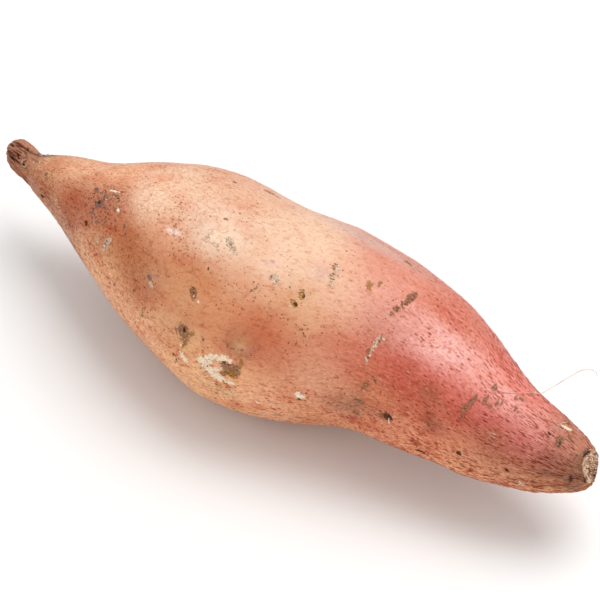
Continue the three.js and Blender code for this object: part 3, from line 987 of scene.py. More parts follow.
@dataclass
class Skin:
    """The skin of the whole root, sculpted and painted.

    Attributes:
        surface: The root's surface, which the skin's lumps and pits are pressed into.
        marks: The blemishes.
        lumps: For each size of lump, in millimetres, how high it is.
        neck: From where to where the neck's folds set in, in millimetres from the middle.
        end: The same for the trimmed end's furrows.
        collar: Where the knob's collar lies, in millimetres along.
        ray_lump: The oval of the raised lump with rays.
        hollows: How deep in a fold or a furrow each point lies, from 0 to 1.
    """

    surface: Surface
    marks: list[Mark]
    lumps: dict[float, float] = field(default_factory=lambda: {18.0: 0.35, 6.5: 0.18, 2.2: 0.07})
    neck: tuple[float, float] = (86, 100)
    end: tuple[float, float] = (62, 96)
    collar: float = -92.5
    ray_lump: Mark = Mark(Layer.HUSK, 10, 67.5, 2.6, 2.6)
    hollows: np.ndarray = field(init=False)

    def sculpt(self) -> None:
        """Presses the lumps, folds, furrows, pits and the hollow of the cut into the surface."""
        grain, along = self.surface.grain(), self.surface.points[..., 0]
        sizes = enumerate(self.lumps.items())
        heights = sum(high * random_field(grain, size, seed) for seed, (size, high) in sizes)
        heights += self._folds(grain)
        low_rim = step(along, 35, 75) * step(-self.surface.out[..., 2], 0.0, 0.5)
        heights += 0.16 * low_rim * random_field(grain, 1.6, 15)
        collar = np.exp(-(((along - self.collar) / 2.2) ** 2))
        heights -= 0.5 * collar * (1 + random_field(grain, 3.0, 16))
        beyond = (self.surface.points - CUT.middle) @ CUT.normal
        heights -= 0.7 * np.clip(beyond + 0.3, 0, None) * (along > 90)
        heights += self._lump()
        for mark in self.marks:
            if mark.relief < 0:
                far = self.surface.oval(mark)
                rim = 0.25 * np.exp(-(((far - 1.2) / 0.25) ** 2))
                heights += mark.relief * (1 - step(far, 0.3, 1.0) - rim)
        self.surface.lift(heights)

    def _folds(self, grain: np.ndarray) -> np.ndarray:
        """Works out the neck's folds and the end's furrows, and keeps how deep in them each point lies.

        Args:
            grain: Where each point lies on the straightened root, in millimetres.

        Returns:
            How far each point moves out, in millimetres.
        """
        along, drawn = self.surface.points[..., 0], grain * [0.14, 1, 1]
        neck, end = step(-along, *self.neck), step(along, *self.end)
        folds = neck * (0.5 * random_field(drawn, 2.3, 11) + 0.4 * random_field(drawn, 1.0, 12))
        folds += neck * 0.22 * random_field(grain * [0.5, 1, 1], 0.9, 18)
        furrows = 0.2 * random_field(grain * [0.25, 1, 1], 1.7, 13) + 0.12 * random_field(grain, 1.1, 14)
        furrows *= end
        self.hollows = step(-folds, 0.0, 0.45) * neck + 0.5 * step(-furrows, 0.03, 0.3) * end
        return folds + furrows

    def _lump(self) -> np.ndarray:
        """The raised lump with rays on the belly's front, as a height at each point."""
        far = self.surface.oval(self.ray_lump)
        return 0.55 * np.exp(-(far**2)) - 0.12 * np.exp(-(((far - 1.5) / 0.4) ** 2))

    def colours(self) -> np.ndarray:
        """Blends the zones by nearness, and lays the washes over them.

        Returns:
            The skin's colour at each point, as linear light with an alpha of 1.
        """
        points = self.surface.points
        total = np.zeros((*points.shape[:2], 3))
        weights = np.zeros((*points.shape[:2], 1))
        for zone in ZONES + WASHES:
            away = points - self.surface.spot(zone.along, zone.around)
            across = np.hypot(away[..., 1], away[..., 2]) / zone.wide
            near = np.exp(-((away[..., 0] / zone.long) ** 2) - across**2)[..., None]
            tint = np.array(linear(zone.colour)[:3])
            if zone.strength < 1:
                near *= zone.strength
                total = total * (1 - near) + tint * near * weights
            else:
                total += tint * near
                weights += near
        return np.concatenate([total / weights, np.ones_like(weights)], axis=2)

    def amounts(self, layer: Layer) -> np.ndarray:
        """Works out how much of a layer shows in the skin itself.

        Args:
            layer: The layer.

        Returns:
            For each point 1 well inside a mark, a half on its edge and 0 outside.
        """
        most = np.zeros(self.surface.points.shape[:2])
        for mark in self.marks:
            if mark.layer is layer and mark.relief <= 0:
                shown = np.clip(1.3 - 0.8 * self.surface.oval(mark), 0, 1) * mark.strength
                most = np.maximum(most, shown)
        if layer is Layer.CORK:
            off = np.linalg.norm(self.surface.points - CUT.middle, axis=2) / CUT.radius
            most = np.maximum(most, 0.52 * step(-off, -1.35, -1.1))
        return most

    def build(self) -> None:
        """Makes the skin's mesh, paints it and dresses it."""
        skin = self.surface.mesh("skin")
        along, down = self.surface.points[..., 0], -self.surface.out[..., 2]
        layers = {layer.value: self.amounts(layer) for layer in Layer}
        layers["skin_colour"] = self.colours()
        layers["grain"] = self.surface.grain()
        layers["hollows"] = self.hollows
        layers["redness"] = 0.25 + 0.75 * step(along, 5, 55)
        left = step(-along, 0, 70) * (0.5 + 0.5 * step(down, -0.9, -0.2))
        layers["pricked"] = 0.45 + 0.5 * left + 0.4 * step(down, -0.6, 0.2) + 0.25 * step(along, 30, 60)
        for name, values in layers.items():
            paint(skin, name, self.surface.flat(values))
        skin.data.materials.append(SkinFinish().material())
        declare(skin, "skin", "storage_root")


@dataclass(frozen=True)
class ScabFinish:
    """Dry dead tissue that came up through the skin, or peels off it: matt, crumbly cork, husk or film.

    The eye gets a rough, light-and-dark crust with no shine, a little paler on its high spots.

    Attributes:
        layer: What it is.
        crumb: The size of its crumbs, in millimetres.
    """

    layer: Layer
    crumb: float = 0.45

    def material(self) -> bpy.types.Material:
        """Builds the material."""
        made, tree, shader = new_material(f"dry_{self.layer.value}")
        node = partial(add_node, tree)
        look = LOOKS[self.layer]
        place = node("ShaderNodeTexCoord", {}).outputs["Object"]
        crumbs = node("ShaderNodeTexNoise", {"Vector": place, "Scale": 1 / (self.crumb * MM), "Detail": 3.0})
        shade = node("ShaderNodeMapRange", {"Value": crumbs.outputs["Fac"], 1: 0.36, 2: 0.64}).outputs[0]
        inputs = {0: shade, 6: linear(look.dark), 7: linear(look.light)}
        colour = node("ShaderNodeMix", inputs, data_type="RGBA").outputs[2]
        # It thins out to the skin's own colour at its edge and in its gaps.
        inside = node("ShaderNodeAttribute", {}, attribute_name="inside").outputs["Fac"]
        skin = node("ShaderNodeAttribute", {}, attribute_name="skin_colour").outputs["Color"]
        amount = node("ShaderNodeMath", {0: inside, 1: crumbs.outputs["Fac"]}, operation="ADD").outputs[0]
        ends = {"Value": amount, 1: 0.5, 2: 0.85, 3: 0.15, 4: look.cover}
        cover = node("ShaderNodeMapRange", ends).outputs[0]
        colour = node("ShaderNodeMix", {0: cover, 6: skin, 7: colour}, data_type="RGBA").outputs[2]
        height = {"Height": crumbs.outputs["Fac"], "Strength": 0.6, "Distance": 0.12 * MM}
        tree.links.new(colour, shader.inputs["Base Color"])
        tree.links.new(node("ShaderNodeBump", height).outputs[0], shader.inputs["Normal"])
        shader.inputs["Roughness"].default_value = 0.8
        shader.inputs["IOR"].default_value = 1.4
        return made


def join_corners(shown: np.ndarray, passes: int = 4) -> None:
    """Shows one more cell wherever two cells meet only at a corner, so that their edge can be closed.

    Args:
        shown: Which cells of a grid are shown; changed in place.
        passes: How often to look again for corners that a new cell makes.
    """
    for _ in range(passes):
        rising = shown[:-1, :-1] & shown[1:, 1:] & ~shown[1:, :-1] & ~shown[:-1, 1:]
        shown[1:, :-1] |= rising
        falling = shown[1:, :-1] & shown[:-1, 1:] & ~shown[:-1, :-1] & ~shown[1:, 1:]
        shown[:-1, :-1] |= falling


@dataclass
class Scabs:
    """All the raised blemishes of one layer, as one piece of small closed crusts.

    Attributes:
        surface: The root's surface.
        layer: The layer.
        pitch: How far apart the crust's points are, in millimetres.
        root_depth: How far a crust reaches under the skin, in millimetres.
        ragged: The size of the bites out of its edge, in millimetres.
        reach: How far the grid of points goes past the mark's middle, as a share of the mark's size.
        lowest: How far the thinnest part stands out, in millimetres.
    """

    surface: Surface
    layer: Layer
    pitch: float = 0.2
    root_depth: float = 0.22
    ragged: float = 0.5
    reach: float = 1.7
    lowest: float = 0.02

    def _crust(self, mark: Mark, seed: int) -> tuple[np.ndarray, np.ndarray, list[tuple[int, ...]]]:
        """Makes one crust: a sheet that comes up through the skin where the mark is, closed underneath.

        Args:
            mark: The mark.
            seed: The seed of its ragged edge.

        Returns:
            Its points, how far inside its edge each lies, and its faces.
        """
        surface, grid = self.surface, self.surface.points
        ring, side = surface.nearest(mark.along, mark.around)
        ring_gap = np.linalg.norm(grid[min(ring + 1, surface.rings - 1), side] - grid[ring - 1, side]) / 2
        side_gap = np.linalg.norm(grid[ring, (side + 1) % surface.sides] - grid[ring, side - 1]) / 2
        pitch = min(self.pitch, mark.wide / 2.5)
        reaches = [math.ceil(self.reach * half / pitch) for half in (mark.long, mark.wide)]
        spans = [np.arange(-reach, reach + 1) * pitch for reach in reaches]
        u, v = np.meshgrid(*spans, indexing="ij")
        turn = math.radians(mark.turn)
        ahead, across = u * math.cos(turn) - v * math.sin(turn), u * math.sin(turn) + v * math.cos(turn)
        base, out = surface.between(ring + ahead / ring_gap, side + across / side_gap)
        bite = random_field(base, self.ragged, seed) + 0.6 * random_field(base, 0.45 * self.ragged, seed + 1)
        inside = 1 - np.hypot(u / mark.long, v / mark.wide) + 0.55 * bite
        rise = mark.relief * (1.5 * step(inside, -0.12, 0.5) + 0.25 * bite)
        rise = np.where(inside > 0, np.maximum(rise, self.lowest), -0.6 * self.root_depth)
        top = base + out * rise[..., None]
        bottom = base - out * self.root_depth
        across_count = u.shape[1]
        number = np.arange(u.size).reshape(u.shape)
        shown = np.maximum.reduce([inside[:-1, :-1], inside[1:, :-1], inside[1:, 1:], inside[:-1, 1:]]) > 0
        join_corners(shown)
        faces, edges = [], {}
        for i, j in zip(*np.nonzero(shown)):
            low = int(number[i, j])
            quad = (low, low + 1, low + across_count + 1, low + across_count)
            faces += [quad, tuple(u.size + corner for corner in quad[::-1])]
            for a, b in zip(quad, quad[1:] + quad[:1]):
                if edges.pop((b, a), None) is None:
                    edges[a, b] = True
        faces += [(a, u.size + a, u.size + b, b) for a, b in edges]
        used = sorted({corner for face in faces for corner in face})
        fresh = {old: new for new, old in enumerate(used)}
        points = np.concatenate([top.reshape(-1, 3), bottom.reshape(-1, 3)])
        depths = np.tile(inside.ravel(), 2)[used]
        return points[used], depths, [tuple(fresh[corner] for corner in face) for face in faces]

    def build(self, marks: list[Mark], colours: np.ndarray) -> None:
        """Makes the piece from the marks of its layer that stand out.

        Args:
            marks: The marks.
            colours: The skin's colour at each point of the surface.
        """
        points, depths, tints, faces, total = [], [], [], [], 0
        for i, mark in enumerate(mark for mark in marks if mark.layer is self.layer and mark.relief > 0):
            crust, inside, its_faces = self._crust(mark, 100 + 2 * i)
            points.append(crust)
            depths.append(inside)
            tints.append(np.tile(colours[self.surface.nearest(mark.along, mark.around)], (len(crust), 1)))
            faces += [tuple(total + corner for corner in face) for face in its_faces]
            total += len(crust)
        made = new_object(f"{self.layer.value}_scabs", np.concatenate(points), faces)
        paint(made, "inside", np.concatenate(depths))
        paint(made, "skin_colour", np.concatenate(tints))
        made.data.materials.append(ScabFinish(self.layer).material())
        declare(made, "cork")


def grow(base: bpy.types.Object, tree: bpy.types.NodeTree, **settings: Any) -> None:
    """Runs a Geometry Nodes tree on an object, and keeps what it makes as the object's plain mesh.

    Args:
        base: The object that carries the mesh to work on.
        tree: The tree.
        **settings: A value for each of its inputs, by name, with _ for each space.
    """
    modifier = base.modifiers.new(base.name, "NODES")
    modifier.node_group = tree
    for item in tree.interface.items_tree:
        if item.in_out == "INPUT" and item.name.replace(" ", "_") in settings:
            modifier[item.identifier] = settings[item.name.replace(" ", "_")]
    bpy.context.view_layer.update()
    result = base.evaluated_get(bpy.context.evaluated_depsgraph_get())
    mesh = bpy.data.meshes.new_from_object(result)
    base.modifiers.clear()
    base.data = mesh


def scatter_tree(
    name: str, inputs: dict[str, str]
) -> tuple[bpy.types.NodeTree, dict[str, bpy.types.NodeSocket]]:
    """Starts a Geometry Nodes tree that takes a mesh and some sizes.

    Args:
        name: The tree's name.
        inputs: Each further input's name and its socket's type.

    Returns:
        The tree, and its inputs' sockets by name.
    """
    tree = bpy.data.node_groups.new(name, "GeometryNodeTree")
    for title, kind in ({"Base": "NodeSocketGeometry"} | inputs).items():
        tree.interface.new_socket(title, in_out="INPUT", socket_type=kind)
    tree.interface.new_socket("Result", in_out="OUTPUT", socket_type="NodeSocketGeometry")
    enter = tree.nodes.new("NodeGroupInput")
    return tree, {socket.name: socket for socket in enter.outputs if socket.name}


def end_scatter(
    tree: bpy.types.NodeTree, instances: bpy.types.NodeSocket, finish: bpy.types.NodeSocket
) -> None:
    """Ends a tree: gives each instance a random shade, makes them real and sets their material.

    Args:
        tree: The tree.
        instances: The socket that gives the instances.
        finish: The socket that gives their material.
    """
    node = partial(add_node, tree)
    shade = node("FunctionNodeRandomValue", {2: 0.15, 3: 1.0, "Seed": 5}, data_type="FLOAT").outputs[1]
    stored = {"Geometry": instances, "Name": "shade", "Value": shade}
    shaded = node("GeometryNodeStoreNamedAttribute", stored, data_type="FLOAT", domain="INSTANCE").outputs[0]
    real = node("GeometryNodeRealizeInstances", {"Geometry": shaded}).outputs[0]
    smooth = node("GeometryNodeSetShadeSmooth", {"Geometry": real}).outputs[0]
    dressed = node("GeometryNodeSetMaterial", {"Geometry": smooth, "Material": finish}).outputs[0]
    node("NodeGroupOutput", {"Result": dressed})


@dataclass(frozen=True)
class LenticelFinish:
    """Suberised lenticel cork: dull, dry and much darker than the skin that it breaks through.

    The eye gets the skin's own hue, deep and matt. Some are nearly black-brown and some only a shade darker.

    Attributes:
        dark: How much of the skin's colour the darkest keep, as an sRGB colour it is multiplied by.
        light: The same for the lightest.
    """

    dark: str = "#9A583F"
    light: str = "#D08E68"

    def material(self) -> bpy.types.Material:
        """Builds the material."""
        made, tree, shader = new_material("suberised_lenticel")
        node = partial(add_node, tree)
        skin = node("ShaderNodeAttribute", {}, attribute_name="skin_colour").outputs["Color"]
        shade = node("ShaderNodeAttribute", {}, attribute_name="shade").outputs["Fac"]
        inputs = {0: shade, 6: linear(self.dark), 7: linear(self.light)}
        tint = node("ShaderNodeMix", inputs, data_type="RGBA").outputs[2]
        colour = node("ShaderNodeMix", {0: 1.0, 6: skin, 7: tint}, data_type="RGBA", blend_type="MULTIPLY")
        tree.links.new(colour.outputs[2], shader.inputs["Base Color"])
        shader.inputs["Roughness"].default_value = 0.8
        shader.inputs["IOR"].default_value = 1.4
        return made


PORE_FINISH = LenticelFinish("#9C6440", "#D4A070")


@dataclass
class Growth:
    """How thickly lenticels and pores grow over the root, in clusters.

    Attributes:
        surface: The root's surface.
        coarse: How wide a cluster is, in millimetres.
        fine: How wide a clump in a cluster is, in millimetres.
        reddish: From where to where along the root the lenticels set in, in millimetres.
        drawn: From where to where they grow longer.
        stalk_half: From where to where, towards the stalk, the pores set in, in millimetres from the middle.
        underside: From where to where along the root both set in low down.
        clusters: How much of a cluster each point of the surface lies in, from 0 to 1.
        low: How far on the underside it lies, from 0 to 1.
    """

    surface: Surface
    coarse: float = 9.0
    fine: float = 4.0
    reddish: tuple[float, float] = (25, 80)
    drawn: tuple[float, float] = (45, 90)
    stalk_half: tuple[float, float] = (-15, 45)
    underside: tuple[float, float] = (-10, 40)
    clusters: np.ndarray = field(init=False)
    low: np.ndarray = field(init=False)

    def __post_init__(self) -> None:
        """Works out the clusters and the underside."""
        grain, down = self.surface.grain(), -self.surface.out[..., 2]
        noise = random_field(grain, self.coarse, 41) + 0.6 * random_field(grain, self.fine, 42)
        self.clusters = step(noise, -0.6, 0.9)
        self.low = step(self.surface.points[..., 0], *self.underside) * step(down, -0.35, 0.35)

    def lenticels(self) -> np.ndarray:
        """How thickly the lenticels grow at each point, from 0 to 1."""
        end = step(self.surface.points[..., 0], *self.reddish) * (0.5 + 0.5 * self.clusters)
        return np.clip(end + 0.6 * self.low, 0, 1)

    def stretch(self) -> np.ndarray:
        """How much longer the lenticels are at each point."""
        return 0.6 + step(self.surface.points[..., 0], *self.drawn)

    def pores(self) -> np.ndarray:
        """How thickly the pinprick pores grow at each point, from 0 to 1."""
        left = step(-self.surface.points[..., 0], *self.stalk_half) * (0.15 + 0.85 * self.clusters)
        return np.clip(left + 0.1 + 0.3 * self.low, 0, 1)


@dataclass
class Lenticels:
    """Lozenges of cork, drawn out along the root and scattered over its skin.

    Attributes:
        surface: The root's surface.
        name: The piece's name.
        per_cm2: How many there are on a square centimetre where they lie thickest.
        shortest: Half the length of the shortest, in millimetres.
        longest: Half the length of the longest, in millimetres.
        width: Half their width, in millimetres; pinpricks are drawn a little coarser than they are, to show.
        height: How far they stand out, in millimetres.
        seed: The seed of their places.
        finish: What they are made of.
    """

    surface: Surface
    name: str
    per_cm2: float
    shortest: float
    longest: float
    width: float
    height: float
    seed: int
    finish: LenticelFinish = LenticelFinish()

    def _tree(self) -> bpy.types.NodeTree:
        """Builds the Geometry Nodes tree that scatters them over a mesh.

        Returns:
            The tree, which reads how thickly they grow, their stretch and the way ahead from the mesh.
        """
        sizes = ("Per square metre", "Shortest", "Longest", "Width", "Height")
        inputs = dict.fromkeys(sizes, "NodeSocketFloat")
        inputs |= {"Seed": "NodeSocketInt", "Finish": "NodeSocketMaterial"}
        tree, given = scatter_tree(f"scatter_{self.name}", inputs)
        node = partial(add_node, tree)
        read = {"thickness_of_growth": "FLOAT", "stretch": "FLOAT", "ahead": "FLOAT_VECTOR"}
        thick, drawn, ahead = (
            node("GeometryNodeInputNamedAttribute", {"Name": name}, data_type=kind).outputs[0]
            for name, kind in read.items()
        )
        density = {0: thick, 1: given["Per square metre"]}
        density = node("ShaderNodeMath", density, operation="MULTIPLY").outputs[0]
        spread = {"Mesh": given["Base"], "Density": density, "Seed": given["Seed"]}
        points = node("GeometryNodeDistributePointsOnFaces", spread)
        normal = points.outputs["Normal"]
        turned = node("FunctionNodeAlignRotationToVector", {"Vector": normal}, axis="Z").outputs[0]
        turned = {"Rotation": turned, "Vector": ahead}
        turned = node("FunctionNodeAlignRotationToVector", turned, axis="X", pivot_axis="Z").outputs[0]
        sizes = {2: given["Shortest"], 3: given["Longest"], "Seed": 1}
        length = node("FunctionNodeRandomValue", sizes, data_type="FLOAT").outputs[1]
        length = node("ShaderNodeMath", {0: length, 1: drawn}, operation="MULTIPLY").outputs[0]
        broad = node("FunctionNodeRandomValue", {2: 0.6, 3: 1.25, "Seed": 2}, data_type="FLOAT").outputs[1]
        width = node("ShaderNodeMath", {0: broad, 1: given["Width"]}, operation="MULTIPLY").outputs[0]
        scale = node("ShaderNodeCombineXYZ", {"X": length, "Y": width, "Z": given["Height"]}).outputs[0]
        lozenge = node("GeometryNodeMeshIcoSphere", {"Radius": 1.0, "Subdivisions": 1}).outputs[0]
        placed = {"Points": points.outputs[0], "Instance": lozenge, "Rotation": turned, "Scale": scale}
        end_scatter(tree, node("GeometryNodeInstanceOnPoints", placed).outputs[0], given["Finish"])
        return tree

    def build(self, thickness: np.ndarray, stretch: np.ndarray, colours: np.ndarray) -> None:
        """Scatters them over the skin.

        Args:
            thickness: At each point of the surface, how thickly they lie, from 0 to 1.
            stretch: How much longer they are there.
            colours: The skin's colour there.
        """
        made = self.surface.mesh(self.name)
        values = {"thickness_of_growth": thickness, "stretch": stretch, "skin_colour": colours}
        for name, rows in (values | {"ahead": self.surface.ahead}).items():
            paint(made, name, self.surface.flat(rows))
        sizes = {"Shortest": self.shortest, "Longest": self.longest, "Width": self.width}
        sizes = {name: size * MM for name, size in (sizes | {"Height": self.height}).items()}
        settings = {"Per_square_metre": self.per_cm2 * PER_SQUARE_METRE, "Seed": self.seed}
        grow(made, self._tree(), Finish=self.finish.material(), **settings, **sizes)
        declare(made, "cork")


@dataclass(frozen=True)
class TornFinish:
    """Torn root tissue that has dried: stringy, matt and pale, with dark gaps where it broke deepest; that
    darkness is partly painted shade.

    The eye gets cream and tan shreds against brown, and no shine.

    Attributes:
        colours: The sRGB colours from the deepest gaps to the tips.
        places: Where on the way each of them comes.
    """

    colours: tuple[str, ...] = ("#36231B", "#946850", "#D0A888", "#F0D6BC")
    places: tuple[float, ...] = (0.0, 0.2, 0.55, 1.0)

    def material(self) -> bpy.types.Material:
        """Builds the material."""
        made, tree, shader = new_material("torn_dried_fibre")
        node = partial(add_node, tree)
        shade = node("ShaderNodeAttribute", {}, attribute_name="shade").outputs["Fac"]
        ramp = node("ShaderNodeValToRGB", {"Fac": shade})
        for place in self.places[1:-1]:
            ramp.color_ramp.elements.new(place)
        for stop, colour in zip(ramp.color_ramp.elements, self.colours):
            stop.color = linear(colour)
        tree.links.new(ramp.outputs["Color"], shader.inputs["Base Color"])
        shader.inputs["Roughness"].default_value = 0.85
        shader.inputs["IOR"].default_value = 1.4
        return made


@dataclass
class CutEnd:
    """The trimmed root end: torn tissue in the hollow of the cut, with broken fibres standing out of it.

    Attributes:
        surface: The root's surface; not used.
        rings: How many rings of points its face has.
        sectors: How many points each ring has.
        spread: How far out its face goes, as a share of the cut's radius.
        tail: How deep behind the cut the point that closes it lies, in millimetres.
        fibres_per_cm2: How many fibres stand on a square centimetre.
        longest: How long the longest fibre is, in millimetres.
        thinnest: Half the width of the thinnest fibre, in millimetres.
        thickest: Half the width of the thickest, in millimetres.
        lean: How far a fibre leans from the way that the cut faces, as a share of its length.
    """

    surface: Surface
    rings: int = 36
    sectors: int = 96
    spread: float = 1.25
    tail: float = 3.0
    fibres_per_cm2: float = 260.0
    longest: float = 1.0
    thinnest: float = 0.14
    thickest: float = 0.36
    lean: float = 0.8

    def _face(self) -> tuple[np.ndarray, np.ndarray, list[tuple[int, ...]]]:
        """Makes the torn face: a rough disc closed by a point behind it.

        Returns:
            Its points, their shade and its faces.
        """
        mesh = bpy.data.objects["skin"].data
        corners = np.array([vertex.co for vertex in mesh.vertices]) / MM
        tree = BVHTree.FromPolygons(corners.tolist(), [polygon.vertices for polygon in mesh.polygons])
        middle, normal = np.array(CUT.middle), np.array(CUT.normal)
        up = np.cross(normal, [0, 1, 0])
        up /= np.linalg.norm(up)
        share = self.spread * (np.arange(self.rings) + 0.5) / self.rings
        turn = np.arange(self.sectors) * 2 * math.pi / self.sectors
        wobble = 1 + 0.05 * np.sin(3 * turn + 1) + 0.04 * np.sin(7 * turn)
        far = CUT.radius * share[:, None] * wobble
        ways = np.cos(turn)[:, None] * up + np.sin(turn)[:, None] * np.cross(normal, up)
        flat = middle + far[..., None] * ways
        found = [tree.find_nearest(Vector(place))[:2] for place in flat.reshape(-1, 3)]
        skin, out = (np.array(rows).reshape(flat.shape) for rows in zip(*found))
        chunks = random_field(flat, 1.9, 61)
        rough = 0.8 * chunks + 0.7 * random_field(flat, 0.7, 62)
        share = share[:, None] + 0.06 * rough
        # The tissue is torn into chunks with cracks between them, and parted from the rim by a broken gap.
        broken = np.clip(0.5 + 1.6 * random_field(flat, 2.4, 63), 0, 1)
        gap = broken * np.exp(-(((share - 0.88) / 0.07) ** 2))
        crack = np.exp(-((chunks / 0.08) ** 2))
        crest = np.exp(-(((share - 1.02) / 0.1) ** 2))
        high = 0.3 + 0.45 * rough - 0.35 * gap - 0.25 * crack + (0.2 + 0.3 * rough) * crest
        high -= 1.3 * step(share, 1.02, 1.2)
        points = skin + out * high[..., None]
        # Partly painted shade: the cracks and the gap are painted darker and the high spots lighter, over the
        # tissue's own tones and the darker rim.
        shade = 0.66 + 0.45 * rough - 0.6 * gap - 0.4 * crack
        shade = np.clip(shade - (0.25 + 0.45 * broken) * step(share, 0.88, 1.0), 0, 1)
        ends = [points[0].mean(axis=0), middle - self.tail * normal]
        points = np.concatenate([points.reshape(-1, 3), ends])
        front = self.rings * self.sectors
        faces = [(quad[0], *quad[:0:-1]) for quad in ring_quads(self.rings, self.sectors)]
        faces += [(front, a, b) for a, b in ring_edges(0, self.sectors)]
        faces += [(front + 1, b, a) for a, b in ring_edges(front - self.sectors, self.sectors)]
        return points, np.concatenate([shade.ravel(), [0.5, 0]]), faces

    def _tree(self) -> bpy.types.NodeTree:
        """Builds the Geometry Nodes tree that stands the fibres on the face.

        Returns:
            The tree.
        """
        inputs = dict.fromkeys(("Per square metre", "Longest", "Thinnest", "Thickest"), "NodeSocketFloat")
        inputs |= {"Finish": "NodeSocketMaterial"}
        tree, given = scatter_tree("stand_fibres", inputs)
        node = partial(add_node, tree)
        spread = {"Mesh": given["Base"], "Density": given["Per square metre"], "Seed": 3}
        points = node("GeometryNodeDistributePointsOnFaces", spread).outputs[0]
        lean = {0: [-self.lean] * 3, 1: [self.lean] * 3, "Seed": 4}
        lean = node("FunctionNodeRandomValue", lean, data_type="FLOAT_VECTOR").outputs[0]
        lean = node("ShaderNodeVectorMath", {0: lean, 1: CUT.normal}, operation="ADD").outputs[0]
        turned = node("FunctionNodeAlignRotationToVector", {"Vector": lean}, axis="Z").outputs[0]
        share = node("FunctionNodeRandomValue", {2: 0.3, 3: 1.0, "Seed": 6}, data_type="FLOAT").outputs[1]
        length = node("ShaderNodeMath", {0: share, 1: given["Longest"]}, operation="MULTIPLY").outputs[0]
        thick = {2: given["Thinnest"], 3: given["Thickest"], "Seed": 7}
        thick = node("FunctionNodeRandomValue", thick, data_type="FLOAT").outputs[1]
        flat = node("ShaderNodeMath", {0: thick, 1: 0.5}, operation="MULTIPLY").outputs[0]
        scale = node("ShaderNodeCombineXYZ", {"X": thick, "Y": flat, "Z": length}).outputs[0]
        shape = {"Vertices": 5, "Radius Top": 0.35, "Radius Bottom": 1.0, "Depth": 1.0}
        splinter = node("GeometryNodeMeshCone", shape).outputs[0]
        placed = {"Points": points, "Instance": splinter, "Rotation": turned, "Scale": scale}
        end_scatter(tree, node("GeometryNodeInstanceOnPoints", placed).outputs[0], given["Finish"])
        return tree

    def build(self) -> None:
        """Makes the torn face and its fibres."""
        finish = TornFinish().material()
        points, shade, faces = self._face()
        face = new_object("cut_face", points, faces)
        paint(face, "shade", shade)
        face.data.materials.append(finish)
        inner = faces[: self.rings * self.sectors * 2 // 3]  # fibres stand on the inner rings only
        fibres = new_object("cut_fibres", points, inner)
        sizes = {"Longest": self.longest, "Thinnest": self.thinnest, "Thickest": self.thickest}
        sizes = {name: size * MM for name, size in sizes.items()}
        density = self.fibres_per_cm2 * PER_SQUARE_METRE
        grow(fibres, self._tree(), Per_square_metre=density, Finish=finish, **sizes)
        declare(face, "cut_fibre")
        declare(fibres, "cut_fibre")


@dataclass(frozen=True)
class RootletFinish:
    """A dried rootlet: a papery brown-grey bark round a hair of fibre, satin and a little uneven.

    The eye gets a pale straw-coloured thread with darker joints.

    Attributes:
        dark: The sRGB colour of the joints.
        light: The sRGB colour between them.
        joint: How far apart the joints are, in millimetres.
    """

    dark: str = "#967460"
    light: str = "#DCC8B4"
    joint: float = 2.5

    def material(self) -> bpy.types.Material:
        """Builds the material."""
        made, tree, shader = new_material("papery_rootlet_bark")
        node = partial(add_node, tree)
        place = node("ShaderNodeTexCoord", {}).outputs["Object"]
        patches = node("ShaderNodeTexNoise", {"Vector": place, "Scale": 1 / (self.joint * MM), "Detail": 3.0})
        shade = node("ShaderNodeMapRange", {"Value": patches.outputs["Fac"], 1: 0.35, 2: 0.55}).outputs[0]
        inputs = {0: shade, 6: linear(self.dark), 7: linear(self.light)}
        colour = node("ShaderNodeMix", inputs, data_type="RGBA").outputs[2]
        tree.links.new(colour, shader.inputs["Base Color"])
        shader.inputs["Roughness"].default_value = 0.6
        shader.inputs["IOR"].default_value = 1.45
        return made


